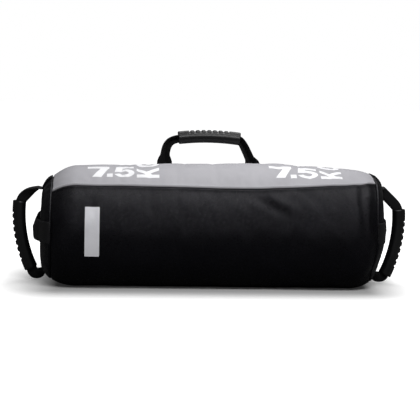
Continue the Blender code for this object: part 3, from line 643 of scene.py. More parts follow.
def sewn_down(t, turn):
    """Whether the simulated cloth is held at a place: at a seam, on the ground or at an end's middle."""
    seam_half = 360 / SIM_COLUMNS * HELD_COLUMN_SHARE
    on_long_seam = min(abs(turn - FRONT_SEAM), abs(turn - BACK_SEAM)) < seam_half and abs(t) < END_SEAM_STATION
    on_end_seam = abs(abs(t) - END_SEAM_STATION) < HELD_BESIDE_END_SEAM
    on_ground = abs(turn - 270) < FLAT_HALF_TURN
    return on_long_seam or on_end_seam or on_ground or abs(t) > CORNER_END + HELD_PAST_CORNER


def stuffed_swell():
    """How far the cloth moves out at each grid point when the sewn shell is filled under pressure."""
    turns = [360 * k / SIM_COLUMNS for k in range(SIM_COLUMNS)]
    places = [(t, turn) for t in span(-LAST_STATION, LAST_STATION, SIM_ROWS - 1) for turn in turns]
    points = [surface(t, turn, SIM_SLACK) for t, turn in places]
    shell = new_object("stuffed_shell", points, capped_faces(SIM_ROWS, SIM_COLUMNS))
    outward(shell)
    sewn = shell.vertex_groups.new(name="sewn")
    sewn.add([k for k, place in enumerate(places) if sewn_down(*place)], 1.0, "REPLACE")
    cloth = shell.modifiers.new("cloth", "CLOTH")
    for name, value in SIM_CLOTH.items():
        setattr(cloth.settings, name, value)
    cloth.settings.effector_weights.gravity = 0
    cloth.collision_settings.use_collision = False
    cloth.collision_settings.use_self_collision = False
    cloth.point_cache.frame_start, cloth.point_cache.frame_end = 1, SIM_FRAMES
    scene = bpy.context.scene
    for moment in range(1, SIM_FRAMES + 1):
        scene.frame_set(moment)
    settled = shell.evaluated_get(bpy.context.evaluated_depsgraph_get())
    after = np.empty(len(settled.data.vertices) * 3)
    settled.data.vertices.foreach_get("co", after)
    before = np.array(points)
    higher = np.array([surface(t, turn, SIM_SLACK + 0.001) for t, turn in places])
    normal = (higher - before) / 0.001
    rise = ((after.reshape(-1, 3) - before) * normal).sum(axis=1).reshape(SIM_ROWS, SIM_COLUMNS)
    scene.frame_set(1)
    bpy.data.objects.remove(shell, do_unlink=True)
    return SIM_CAP * np.tanh((rise - np.median(rise)) / (2 * SIM_CAP))


SWELL = stuffed_swell()


def swell_at(t, turn):
    """The simulated rise at a place, between the grid's points."""
    row = (t + LAST_STATION) / (2 * LAST_STATION) * (SIM_ROWS - 1)
    row = min(max(row, 0.0), SIM_ROWS - 1.001)
    column = (turn % 360) / 360 * SIM_COLUMNS
    r, c = int(row), int(column)
    u, v = row - r, column - c
    after = (c + 1) % SIM_COLUMNS
    c = c % SIM_COLUMNS
    near = SWELL[r, c] * (1 - v) + SWELL[r, after] * v
    far = SWELL[r + 1, c] * (1 - v) + SWELL[r + 1, after] * v
    return near * (1 - u) + far * u


def seam_distance(turn):
    """Metres over the cloth to the nearer of the two long seams."""
    turn = turn % 360
    to_front, to_back = abs(turn - FRONT_SEAM), abs(turn - BACK_SEAM)
    to_back = min(to_back, abs(turn - 360 - BACK_SEAM))
    return math.radians(min(to_front, to_back)) * BODY_DEPTH / 2


# Folds and dents, in metres along the bag and degrees of turn
LUMP, FINE_LUMP = 0.0011, 0.00025
LUMPS_ALONG, LUMPS_AROUND, FINER = 9.0, 1.7, 3.1  # per metre, per radian, and how much finer the fine ones are
DENT = {"depth": 0.0036, "place": 0.100, "slant": 0.0023, "width": 0.015, "turn": 153, "half_turn": 9}
DENT_LIPS = ((0.0016, 1.8), (0.0006, -1.9))  # height, and place in widths of the dent
HOLLOW = {"depth": 0.0013, "place": (-0.135, 0.05), "turn": (160, 14)}
RIGHT_FOLDS = {"height": 0.0012, "from": 0.232, "to": 0.262, "pitch": 0.021, "waver": 0.4, "turn": (160, 32)}
CORNER_WRINKLES = (
    {"height": 0.0013, "round": 9, "along": 70, "from": 0.26, "place": (0.288, 0.030), "turn": (222, 22)},
    {"height": 0.0009, "round": 8, "along": -60, "from": -0.26, "place": (-0.288, 0.028), "turn": (215, 24)},
)
GATHER, GATHER_WIDTH = 0.0016, 0.016
PUCKER, PUCKER_WIDTH = 0.0003, 0.009


def front_dents(t, turn):
    """A dent right of the middle that runs down to the right, with lips beside it, and a shallow hollow."""
    across = (t - DENT["place"] - DENT["slant"] * (turn - DENT["turn"])) / DENT["width"]
    shape = -DENT["depth"] * bump(across, 0, 1)
    for height, place in DENT_LIPS:
        shape += height * bump(across, place, 1)
    hollow = HOLLOW["depth"] * bump(t, *HOLLOW["place"]) * bump(turn, *HOLLOW["turn"])
    return shape * bump(turn, DENT["turn"], DENT["half_turn"]) - hollow


def end_folds(t, turn):
    """Folds beside the right end seam across its upper front, and wrinkles that fan from the lower corners."""
    folds = RIGHT_FOLDS
    waver = folds["waver"] * math.sin(math.radians(turn * 5))
    wave = math.sin((t - folds["to"]) * 2 * math.pi / folds["pitch"] + waver)
    beside_seam = smooth(t, folds["from"], folds["to"])
    beside_seam *= 1 - smooth(t, END_SEAM_STATION - 0.006, END_SEAM_STATION)
    rise = folds["height"] * wave * beside_seam * bump(turn, *folds["turn"])
    for fold in CORNER_WRINKLES:
        fan = math.sin(math.radians(turn * fold["round"]) + (t - fold["from"]) * fold["along"])
        rise += fold["height"] * fan * bump(t, *fold["place"]) * bump(turn, *fold["turn"])
    return rise


def hand_shaped_folds(t, turn):
    """The folds and dents that the photograph shows, and soft unevenness of the filling elsewhere."""
    turn = turn % 360
    around = math.radians(turn)
    lump = Vector((t * LUMPS_ALONG, around * LUMPS_AROUND, 0.3))
    rise = LUMP * noise.noise(lump) + FINE_LUMP * noise.noise(lump * FINER)
    rise += front_dents(t, turn) + end_folds(t, turn)
    gather = noise.noise(Vector((around * 9.0, math.copysign(3.1, t), t * 6)))
    rise += GATHER * gather * bump(abs(t), END_SEAM_STATION, GATHER_WIDTH)
    pucker = noise.noise(Vector((t * 62, math.copysign(1.3, 90 - turn), 7.7)))
    return rise + PUCKER * pucker * bump(seam_distance(turn), 0, PUCKER_WIDTH)


def seam_roll(distance, fullness=1.0):
    """How the cloth rolls over and dives into a seam, at a distance from it."""
    height, place, width = SEAM_ROLL
    return height * fullness * bump(distance, place, width) - SEAM_DEPTH * bump(distance, 0, SEAM_REACH)


# The swell's share at a seam, and over how far it comes back
CALM_LEAST, CALM_FROM_END, CALM_FROM_SEAM = 0.35, 0.03, 0.02
GROUND_MARGIN, GROUND_SHARE = 6, 0.3  # degrees beside the flat underside, and the hollows' share there
LOWEST_RISE = -0.0040
TAPE_ROOM = 0.0031  # kept free over the seam tapes
TAPE_SPREAD, END_TAPE_SPREAD = 0.014, 0.016


def cloth_rise(t, turn):
    """How far the cloth stands off the roll: its swell and folds, calmer beside the seams and the ground."""
    to_end, to_seam = abs(abs(t) - END_SEAM_STATION), seam_distance(turn)
    calm = min(1.0, CALM_LEAST + to_end / CALM_FROM_END, CALM_LEAST + to_seam / CALM_FROM_SEAM)
    rise = swell_at(t, turn) * calm + hand_shaped_folds(t, turn)
    if abs((turn % 360) - 270) < FLAT_HALF_TURN + GROUND_MARGIN:
        rise = min(rise, 0.0) * GROUND_SHARE
    over_end_tape = bump(abs(t), END_SEAM_STATION, END_TAPE_SPREAD)
    over_tapes = max(bump(to_seam, 0, TAPE_SPREAD), over_end_tape)
    return max(rise, LOWEST_RISE + TAPE_ROOM * over_tapes)


EDGE_STEPS = (0.0, 0.0006, 0.0012, 0.0020, 0.0030, 0.0042, 0.0060)
PANEL_STEP, PANEL_TURN_STEP = 0.0040, 1.6
END_FULLNESS, DISC_FULLNESS = 0.5, 0.2  # how full the cloth rolls beside the end seams, as shares


def near_edges(first, last, step, edge_steps):
    """Values from first to last, closer together beside both ends."""
    direction = math.copysign(1, last - first)
    inner_first, inner_last = first + direction * edge_steps[-1], last - direction * edge_steps[-1]
    count = max(2, round(abs(inner_last - inner_first) / step))
    values = [first + direction * e for e in edge_steps[:-1]]
    values += span(inner_first, inner_last, count)
    values += [last - direction * e for e in reversed(edge_steps[:-1])]
    return values


def cloth_panel(name, turns, finish_name):
    """A panel of cloth over part of the roll, rolled in at its sewn edges."""
    edge = END_SEAM_STATION - SEAM_HALF_GAP
    stations = near_edges(-edge, edge, PANEL_STEP, EDGE_STEPS)
    points, flat, to_seam = [], [], []
    for t in stations:
        end_distance = abs(abs(t) - END_SEAM_STATION)
        for turn in turns:
            long_distance = seam_distance(turn)
            rolled = seam_roll(end_distance, END_FULLNESS) + seam_roll(long_distance)
            points.append(surface(t, turn, cloth_rise(t, turn) + rolled))
            flat.append((t, math.radians(turn) * MAP_RADIUS))
            to_seam.append(min(end_distance, long_distance))
    panel = new_object(name, points, grid_faces(len(stations), len(turns)), FINISH[finish_name])
    set_uv(panel, flat)
    set_values(panel, "seam_distance", to_seam)
    outward(panel)
    middle = panel.data.polygons[len(panel.data.polygons) // 2]
    if middle.normal.dot(middle.center - Vector((0, 0, AXIS_HEIGHT))) < 0:
        panel.data.flip_normals()
    thicken(panel, CLOTH)
    return panel


def body_panels():
    """The black main panel and the grey top panel, sewn together along the bag."""
    edge_turns = [degrees_over(e) for e in EDGE_STEPS]
    gap = degrees_over(SEAM_HALF_GAP)
    for word, first, last, colour in (
        ("main", FRONT_SEAM + gap, BACK_SEAM - gap + 360, "black"),
        ("top", BACK_SEAM + gap, FRONT_SEAM - gap, "grey"),
    ):
        turns = near_edges(first, last, PANEL_TURN_STEP, edge_turns)
        panel = cloth_panel(f"{word}_cloth", turns, f"{colour}_fabric")
        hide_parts(f"{word}_panel")
        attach(panel, "bag")


ZIP_HALF_LENGTH = 0.0595
ZIP_HALF_SLOT = 0.0058


# The disc in an end, in distances from its edge: a rim of finer rings beside the seam, and the rings further in
RIM_WIDTH, RIM_STEP, RIM_LAST = 0.030, 0.0035, 0.026
INNER_FIRST, INNER_RINGS, DISC_POINTS = 0.028, 16, 180
DISC_REACH = 0.97  # how far in the rings go, as a share of the flat part
RISE_FADES_OVER = 0.02  # past the end corner


def end_cloth(side, word):
    """The disc of cloth sewn into an end. The left one is slit for the zip."""
    first = END_SEAM_STATION + SEAM_HALF_GAP
    last = CORNER_END + (RADIUS - CORNER_DROP) * DISC_REACH
    rim = near_edges(first, first + RIM_WIDTH, RIM_STEP, EDGE_STEPS)
    rings = [t for t in rim if t < first + RIM_LAST] + span(first + INNER_FIRST, last, INNER_RINGS)
    turns = span(0, 360, DISC_POINTS)[:-1]
    points, to_seam = [], []
    for t in rings:
        for turn in turns:
            rise = cloth_rise(side * t, turn) * (1 - smooth(t, CORNER_END, CORNER_END + RISE_FADES_OVER))
            points.append(surface(side * t, turn, rise + seam_roll(t - END_SEAM_STATION, DISC_FULLNESS)))
            to_seam.append(t - END_SEAM_STATION)
    start = (len(rings) - 1) * len(turns)
    centre = len(points)
    points.append(sum(points[start:], Vector()) / len(turns))
    to_seam.append(RADIUS)
    faces = grid_faces(len(rings), len(turns), around=True)
    faces += [(start + k, start + (k + 1) % len(turns), centre) for k in range(len(turns))]
    panel = new_object(f"{word}_end_cloth", points, faces, FINISH["black_fabric"])
    set_uv(panel, [(point.y, point.z) for point in points])
    set_values(panel, "seam_distance", to_seam)
    outward(panel)
    if panel.data.polygons[0].normal.x * side < 0:
        panel.data.flip_normals()
    if side < 0:
        slit_for_zip(panel)
    thicken(panel, CLOTH)
    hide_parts(f"{word}_end_panel")
    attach(panel, "bag")


def slit_for_zip(panel):
    """Cuts the long opening over the zip's teeth, with straight edges."""
    bm = bmesh.new()
    bm.from_mesh(panel.data)
    low, high = AXIS_HEIGHT - ZIP_HALF_SLOT, AXIS_HEIGHT + ZIP_HALF_SLOT
    cuts = (((0, -ZIP_HALF_LENGTH, 0), (0, 1, 0)), ((0, ZIP_HALF_LENGTH, 0), (0, 1, 0)))
    cuts += (((0, 0, low), (0, 0, 1)), ((0, 0, high), (0, 0, 1)))
    for place, normal in cuts:
        everything = bm.verts[:] + bm.edges[:] + bm.faces[:]
        bmesh.ops.bisect_plane(bm, geom=everything, plane_co=place, plane_no=normal)
    inside = []
    for face in bm.faces:
        middle = face.calc_center_median()
        if abs(middle.y) < ZIP_HALF_LENGTH and low < middle.z < high and middle.x < -HALF + 0.02:
            inside.append(face)
    bmesh.ops.delete(bm, geom=inside, context="FACES")
    bm.to_mesh(panel.data)
    bm.free()


# Webbing, folded along its middle where it leaves the bag

WEB_POINTS = 15
WEB_EDGE_SHARE = 0.62  # how thick the webbing's two edges are


def fold_section(theta, width):
    """Outline of webbing folded along its middle by theta from flat, as (across, depth, u) round the strip."""
    half = width / 2
    reach = FOLD_RADIUS * theta
    line = []
    for share in span(-1, 1, WEB_POINTS - 1):
        s = share * half
        side = math.copysign(1, s)
        if abs(s) <= reach and theta > 0:
            a = s / FOLD_RADIUS
            line.append((FOLD_RADIUS * math.sin(a), FOLD_RADIUS * (1 - math.cos(a)), a, s))
        else:
            run = abs(s) - reach
            p = side * (FOLD_RADIUS * math.sin(theta) + run * math.cos(theta))
            q = FOLD_RADIUS * (1 - math.cos(theta)) + run * math.sin(theta)
            line.append((p, q, side * theta, s))
    middle = sum(q for _, q, _, _ in line) / len(line)
    outer, inner = [], []
    for k, (p, q, angle, s) in enumerate(line):
        lean_p, lean_q = -math.sin(angle), math.cos(angle)
        thin = WEB / 2 * (WEB_EDGE_SHARE if k in (0, len(line) - 1) else 1.0)
        outer.append((p - lean_p * thin, q - middle - lean_q * thin, s))
        inner.append((p + lean_p * thin, q - middle + lean_q * thin, s))
    return outer + inner[::-1]


def webbing(name, stations):
    """Sweeps webbing through stations of (centre, across, depth, theta, width)."""
    points, flat, length = [], [], 0.0
    before = stations[0][0]
    for centre, across, depth, theta, width in stations:
        length += (centre - before).length
        before = centre
        for p, q, s in fold_section(theta, width):
            points.append(centre + across * p + depth * q)
            flat.append((s, length))
    around = 2 * WEB_POINTS
    faces = grid_faces(len(stations), around, around=True)
    last = (len(stations) - 1) * around
    for k in range(WEB_POINTS - 1):
        faces.append((k, k + 1, around - 2 - k, around - 1 - k))
        faces.append((last + k, last + k + 1, last + around - 2 - k, last + around - 1 - k))
    strip = new_object(name, points, faces, FINISH["black_webbing"])
    set_uv(strip, flat)
    outward(strip)
    return strip


def run_of_webbing(name, line, across, folds, widths):
    return webbing(name, list(zip(line, [across] * len(line), frames(line, across), folds, widths)))


def bezier(start, lead, trail, end, steps):
    line = []
    for t in span(0, 1, steps):
        u = 1 - t
        line.append(u**3 * start + 3 * u * u * t * lead + 3 * u * t * t * trail + t**3 * end)
    return line


def ahead_of(line, k):
    """The way that a line runs at one of its points."""
    return (line[min(k + 1, len(line) - 1)] - line[max(k - 1, 0)]).normalized()


def frames(line, across):
    """A direction of depth at each point of a line, square to it and to across."""
    return [across.cross(ahead_of(line, k)).normalized() for k in range(len(line))]


def grip_point(shape, middle, at, distance_out=0.0):
    """A point on a grip's middle line, or out from it, in its handle's plane."""
    angle = (at - shape["length"] / 2) / shape["bend"]
    out = Vector((math.cos(angle), 0, -math.sin(angle)))
    point = (out - Vector((1, 0, 0))) * shape["bend"]
    turn = Matrix.Rotation(math.radians(shape["tilt"]), 3, "Y")
    return middle + turn @ point + turn @ out * distance_out


def side_place(side):
    place = Matrix.Translation((side * (HALF + PIVOT_STANDOFF), 0, AXIS_HEIGHT))
    return place @ Matrix.Rotation(math.radians(180), 4, "Z") if side < 0 else place


def top_place():
    y, z = section(TOP_FOOT_TURN)
    angle = math.radians(TOP_FOOT_TURN)
    normal = Vector((0, math.cos(angle), math.sin(angle)))
    centre = Vector((TOP_SHIFT, y, z)) + normal * PIVOT_STANDOFF
    return Matrix.Translation(centre) @ Matrix.Rotation(math.radians(-90), 4, "Y")


# Moulded grips

SLEEVE_POINTS = 48
SLEEVE_GIRTH = 0.066
SLEEVE_SQUARENESS, BORE_SQUARENESS = 2.3, 3.2  # 2 is an ellipse, and higher is nearer a rectangle
SLEEVE_ROUND = 0.0016  # radius of the sleeve's end edges
ROUND_STEPS = (0.0, 0.0003, 0.0008, 0.0016)
STRIP_STEP = 0.0004  # how far the strip stands up between its ribs


def squarish(k, power, width, height):
    """Point k of SLEEVE_POINTS round an ellipse that is nearer a rectangle."""
    angle = 2 * math.pi * k / SLEEVE_POINTS
    c, s = math.cos(angle), math.sin(angle)
    return math.copysign(abs(c) ** (2 / power), c) * width, math.copysign(abs(s) ** (2 / power), s) * height


def sleeve_outline(rise, trim):
    """The sleeve's outline as (across, out, share of strip), with its raised strip on the outer side."""
    ring = []
    for k in range(SLEEVE_POINTS):
        a, t = squarish(k, SLEEVE_SQUARENESS, GRIP_ACROSS / 2 - trim, GRIP_THICKNESS / 2 - trim)
        on_strip = 1 - smooth(abs(a), STRIP_WIDTH / 2 - 0.0002, STRIP_WIDTH / 2 + 0.0010) if t > 0 else 0.0
        ring.append((a, t + (RIB_RISE * rise + STRIP_STEP) * on_strip, on_strip))
    return ring


PLATEAU_EDGE = 0.0010
RIB_CLIMB, RIB_FALL = (0.06, 0.30), (0.70, 0.94)  # shares of a rib's pitch


def rib_rise(at, length):
    """The raised strip's height along the grip, as a share: smooth ends, and ribs between them."""
    if at < PLATEAU or at > length - PLATEAU:
        near = min(abs(at - PLATEAU), abs(at - length + PLATEAU))
        return smooth(near, 0.0, PLATEAU_EDGE)
    pitch = (length - 2 * PLATEAU) / RIB_COUNT
    share = (at - PLATEAU) / pitch % 1
    return smooth(share, *RIB_CLIMB) * (1 - smooth(share, *RIB_FALL))


def grip_sleeve(name, shape, middle, place, node, body):
    length = shape["length"]
    plain = span(0.0024, PLATEAU - 0.0016, 8)
    stations = [*ROUND_STEPS, *plain, *span(PLATEAU - 0.0010, length - PLATEAU + 0.0010, RIB_COUNT * 20)]
    stations += [length - at for at in reversed([*ROUND_STEPS, *plain])]
    rings = []
    for at in stations:
        from_edge = 1 - min(at / SLEEVE_ROUND, (length - at) / SLEEVE_ROUND, 1)
        trim = SLEEVE_ROUND * (1 - math.sqrt(max(0.0, 1 - from_edge**2)))
        rise = rib_rise(at, length)
        rings.append((at, [(a, t, rise * on_strip) for a, t, on_strip in sleeve_outline(rise, trim)]))
    bore = [squarish(k, BORE_SQUARENESS, BORE_ACROSS / 2, BORE_THICKNESS / 2) for k in range(SLEEVE_POINTS)]
    rings += [(at, [(a, t, 0.0) for a, t in bore]) for at in span(length, 0, 6)]
    points, flat, crest = [], [], []
    for at, ring in rings:
        for k, (a, t, worn) in enumerate(ring):
            points.append(place @ (grip_point(shape, middle, at, t) + Vector((0, a, 0))))
            flat.append((k / SLEEVE_POINTS * SLEEVE_GIRTH, at))
            crest.append(worn)
    sleeve = new_object(name, points, joined_faces(len(rings), SLEEVE_POINTS), FINISH["moulded_rubber"])
    set_uv(sleeve, flat)
    set_values(sleeve, "crest", crest)
    outward(sleeve)
    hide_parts(node)
    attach(sleeve, body)


# Handles

FULL_FOLD = math.radians(84)
HELD_FOLD, HELD_WIDTH = math.radians(62), 0.024  # inside a grip
MOUTH, MOUTH_INSIDE = 0.004, 0.010  # where webbing enters a grip, and a place further in
LEG_STEPS = 16
LOWER_LEG = {
    "turn": 270, "foot": -LOWER_FOOT_FALL, "droop": 0, "fold": (0, 0.5), "sewn_share": 0.62, "shoulder": 1,
}
UPPER_SHOULDER = 0.45  # how far the webbing runs straight on out of the upper mouth, as a share
TOP_SEWN_TURNS = (36, 59)
TOP_SEWN_SHIFT = -0.0015
TOP_FOLDS = ((46, 0.0, 0.28), (22, 0.36, 0.48))  # degrees, and between which shares of a leg they come in
TOP_NARROWS, SIDE_NARROWS = (0.16, 0.5), (0.10, 0.75)  # by what share of its width, and from where in the leg


def leg_of_webbing(shape, middle, at_start, foot, lead, shoulder):
    """The middle line from a foot into a grip, in the handle's own axes."""
    length = shape["length"]
    mouth, inside = (MOUTH, MOUTH_INSIDE) if at_start else (length - MOUTH, length - MOUTH_INSIDE)
    grip_end = grip_point(shape, middle, mouth)
    way_in = (grip_point(shape, middle, inside) - grip_end).normalized()
    pull = (grip_end - foot).length / 2
    return bezier(foot, foot + lead * pull, grip_end - way_in * pull * shoulder, grip_end, LEG_STEPS)


def sewn_and_free(sewn, leg, lead, steps):
    """Joins a sewn line to a leg by a smooth neck. Gives each point's share of the way past the sewn end."""
    pull = (leg[0] - sewn[-1]).length / 2
    way = (sewn[-1] - sewn[-2]).normalized()
    neck = bezier(sewn[-1], sewn[-1] + way * pull, leg[0] - lead * pull, leg[0], steps)
    line = sewn + neck[1:] + leg[1:]
    begin, finish = len(sewn) - 1, len(line) - 1
    return line, [max(0.0, (k - begin) / (finish - begin)) for k in range(len(line))]


def held_webbing(word, shape, middle, place, across, body):
    """The webbing inside a grip, folded to fit its bore."""
    core = [place @ grip_point(shape, middle, at) for at in span(0.002, shape["length"] - 0.002, 12)]
    folds, widths = [HELD_FOLD] * len(core), [HELD_WIDTH] * len(core)
    held = run_of_webbing(f"{word}_held_webbing", core, across, folds, widths)
    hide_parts(f"{word}_strap")
    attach(held, body)


def side_handle(side, word, shaping):
    """An end handle: webbing sewn on the end, folded through a grip, and sewn on again below."""
    place = side_place(side)
    body = f"{word}_handle"
    middle = Vector((SIDE_REACH, 0, -shaping["fall"]))
    grip_sleeve(f"{word}_grip_sleeve", SIDE_GRIP, middle, place, f"{word}_grip", body)
    across = Vector((0, -side, 0))
    narrower, narrows_from = SIDE_NARROWS
    upper = {**shaping, "turn": 90, "foot": UPPER_FOOT_RISE - shaping["foot_drop"], "shoulder": UPPER_SHOULDER}
    for end, way in (("upper", upper), ("lower", LOWER_LEG)):
        turn, droop = way["turn"], math.radians(way["droop"])
        foot = Vector((0, 0, way["foot"]))
        lead = Vector((math.cos(droop), 0, -math.sin(droop)))
        leg = leg_of_webbing(SIDE_GRIP, middle, end == "upper", foot, lead, way["shoulder"])
        leg = [place @ p for p in leg]
        stations = span(END_SEAM_STATION + 0.0006, STRAIGHT + CORNER_ARC * way["sewn_share"], 8)
        sewn = [surface(side * t, turn, WEB / 2 + WEB_LIFT + cloth_rise(side * t, turn)) for t in stations]
        line, shares = sewn_and_free(sewn, leg, (leg[1] - leg[0]).normalized(), 10)
        folds = [FULL_FOLD * smooth(share, *way["fold"]) for share in shares]
        widths = [WEB_WIDTH * (1 - narrower * smooth(share, narrows_from, 1.0)) for share in shares]
        strip = run_of_webbing(f"{word}_{end}_webbing", line, across, folds, widths)
        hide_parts(f"{word}_{end}_anchor")
        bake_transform(strip)
        stitched_box(f"{word}_{end}_stitches", sewn, across)
    held_webbing(word, SIDE_GRIP, middle, place, across, body)


def top_handle():
    """The handle on the crest: webbing sewn behind it, folded through a grip."""
    place = top_place()
    middle = Vector((TOP_REACH, 0, 0))
    grip_sleeve("top_grip_sleeve", TOP_GRIP, middle, place, "top_grip", "top_handle")
    narrower, narrows_from = TOP_NARROWS
    for side, word in SIDES:
        shaping = TOP_LEGS[word]
        lean = math.radians(shaping["lean"])
        foot = Vector((0, 0, -side * TOP_HALF_SPACING))
        lead = Vector((math.cos(lean), 0, side * math.sin(lean))) * shaping["rising"]
        leg = [place @ p for p in leg_of_webbing(TOP_GRIP, middle, side < 0, foot, lead, shaping["shoulder"])]
        x = TOP_SHIFT + side * TOP_HALF_SPACING + TOP_SEWN_SHIFT
        turns = span(*TOP_SEWN_TURNS, 10)
        sewn = [surface(x, turn, WEB / 2 + WEB_LIFT + cloth_rise(x, turn)) for turn in turns]
        line, shares = sewn_and_free(sewn, leg, Vector((0, 0, 1)), 8)
        stations = []
        for k, (point, share) in enumerate(zip(line, shares)):
            ahead = ahead_of(line, k)
            across = ahead.cross(Vector((0, 1, 0)) if share > 0.02 else surface_normal(x, 45)).normalized()
            if across.x < 0:
                across = -across
            fold = math.radians(sum(degrees * smooth(share, low, high) for degrees, low, high in TOP_FOLDS))
            width = WEB_WIDTH * (1 - narrower * smooth(share, narrows_from, 1.0))
            stations.append((point, across, across.cross(ahead).normalized(), fold, width))
        strip = webbing(f"top_{word}_webbing", stations)
        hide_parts(f"top_{word}_foot")
        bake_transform(strip)
        stitched_box(f"top_{word}_stitches", sewn, Vector((1, 0, 0)))
    held_webbing("top", TOP_GRIP, middle, place, Vector((0, 1, 0)), "top_handle")


# Sewing

STITCH_BEADS = ((0.0, -0.6, 0.6), (0.18, 0.35, 1.0), (0.5, 0.75, 1.0), (0.82, 0.35, 1.0), (1.0, -0.6, 0.6))
THREAD_SIDES = 6
BOX_MARGIN = 0.0035  # from the webbing's edges to its stitches


def thread_bar(bm, start, end, up):
    """One stitch: a short bead of thread, sunk at both ends."""
    side = (end - start).normalized().cross(up).normalized()
    rings = []
    for share, lift, size in STITCH_BEADS:
        centre = start.lerp(end, share) + up * (lift * THREAD)
        angles = [2 * math.pi * k / THREAD_SIDES for k in range(THREAD_SIDES)]
        ring = [centre + (side * math.cos(a) + up * math.sin(a)) * THREAD * size for a in angles]
        rings.append([bm.verts.new(point) for point in ring])
    for near, far in zip(rings, rings[1:]):
        for k in range(THREAD_SIDES):
            after = (k + 1) % THREAD_SIDES
            bm.faces.new((near[k], near[after], far[after], far[k]))
    bm.faces.new(rings[0])
    bm.faces.new(rings[-1])


def stitch_row(bm, line, normals, pitch):
    """Stitches of even length along a line of points."""
    lengths = [0.0]
    for a, b in zip(line, line[1:]):
        lengths.append(lengths[-1] + (b - a).length)

    def at(distance):
        k = 0
        while k < len(lengths) - 2 and lengths[k + 1] < distance:
            k += 1
        part = (distance - lengths[k]) / max(lengths[k + 1] - lengths[k], 1e-9)
        return line[k].lerp(line[k + 1], part), normals[k].lerp(normals[k + 1], part).normalized()

    for n in range(int(lengths[-1] / pitch)):
        start, up = at(n * pitch)
        end, _ = at(n * pitch + pitch * STITCH_SHARE)
        thread_bar(bm, start, end, up)


def finish_stitches(name, bm, thread):
    bmesh.ops.recalc_face_normals(bm, faces=bm.faces)
    mesh = mesh_of(bm, name)
    mesh.shade_smooth()
    mesh.materials.append(FINISH[thread])
    made = linked(name, mesh)
    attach(made, "bag")


def stitched_box(name, sewn, across):
    """A box of stitches with a cross in it, over sewn-down webbing."""
    bm = bmesh.new()
    half = WEB_WIDTH / 2 - BOX_MARGIN
    inside = Vector((0, 0, AXIS_HEIGHT))
    up = [d if d.dot(p - inside) > 0 else -d for d, p in zip(frames(sewn, across), sewn)]
    raised = [p + u * (WEB / 2) for p, u in zip(sewn, up)]
    first, last = 1, len(raised) - 2
    for side in (-1, 1):
        line = [p + across * (side * half) for p in raised[first:last + 1]]
        stitch_row(bm, line, up[first:last + 1], BOX_PITCH)
        slant = []
        for k in range(first, last + 1):
            share = (k - first) / (last - first) * 2 - 1
            slant.append(raised[k] + across * (side * half * share))
        stitch_row(bm, slant, up[first:last + 1], BOX_PITCH)
    for k in (first, last):
        line = [raised[k] + across * (half * s) for s in (-1, 0, 1)]
        stitch_row(bm, line, [up[k]] * 3, BOX_PITCH)
    finish_stitches(name, bm, "black_thread")


# Bands across the ends

BAND_FLATNESS = 3.4  # how evenly a band stands off between the corners
BAND_LIFT = 0.0003


def end_band(side, word, shaping):
    """Webbing across an end, sewn in at the seam in front and behind."""
    height = AXIS_HEIGHT + shaping["climb"]
    t_values = span(END_SEAM_STATION + 0.0008, CORNER_END, 8)
    hug = [surface(side * t, 0, WEB / 2 + BAND_LIFT + max(0, cloth_rise(side * t, 0))) for t in t_values]
    corner = [(Vector((p.x, p.y, height)), 0.0, 0.0) for p in hug[:-1]]
    middle = []
    for share in span(1, -1, 26):
        x = side * (HALF + WEB / 2 + WEB_LIFT + shaping["slack"] * (1 - abs(share) ** BAND_FLATNESS))
        lean = math.radians(shaping["tilt"]) * (1 - share**2) ** 1.5
        bend = -math.radians(shaping["crease"]) * (1 - share**2)
        middle.append((Vector((x, hug[-1].y * share, height)), lean, bend))
    other_corner = [(Vector((p.x, -p.y, p.z)), 0.0, 0.0) for p, _, _ in reversed(corner)]
    stations = corner + middle + other_corner
    line = [point for point, _, _ in stations]
    up = Vector((0, 0, 1))
    shaped = []
    for k, (point, lean, bend) in enumerate(stations):
        out = up.cross(ahead_of(line, k)).normalized()
        if out.dot(point - Vector((0, 0, AXIS_HEIGHT))) < 0:
            out = -out
        across = (up * math.cos(lean) - out * math.sin(lean)).normalized()
        depth = (out * math.cos(lean) + up * math.sin(lean)).normalized()
        shaped.append((point, across, depth, bend, WEB_WIDTH))
    band = webbing(f"{word}_band", shaped)
    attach(band, "bag")
    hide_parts(f"{word}_end_band")


# Seams and prints

def stitches_on_cloth(name, places, thread):
    """A row of stitches through places of (t, turn) beside a seam."""
    bm = bmesh.new()
    lift = seam_roll(STITCH_MARGIN) + THREAD * 0.3
    line = [surface(t, turn, cloth_rise(t, turn) + lift) for t, turn in places]
    stitch_row(bm, line, [surface_normal(t, turn) for t, turn in places], PANEL_PITCH)
    finish_stitches(name, bm, thread)


STITCHES_END_BEFORE = 0.004  # the end seam


def seam_stitches():
    """Stitches beside the long seams, on the grey side, and round both end seams."""
    reach = END_SEAM_STATION - STITCHES_END_BEFORE
    margin = degrees_over(STITCH_MARGIN)
    for word, turn in (("front", FRONT_SEAM - margin), ("back", BACK_SEAM + margin)):
        places = [(t, turn) for t in span(-reach, reach, 160)]
        stitches_on_cloth(f"{word}_seam_stitches", places, "grey_thread")
    for side, word in SIDES:
        t = side * (END_SEAM_STATION + STITCH_MARGIN)
        stitches_on_cloth(f"{word}_seam_stitches", [(t, turn) for turn in span(0, 360, 240)], "black_thread")


PRINT_LIFT = 0.00025
PRINT_CUT = 0.003  # how finely a print is cut to follow the cloth


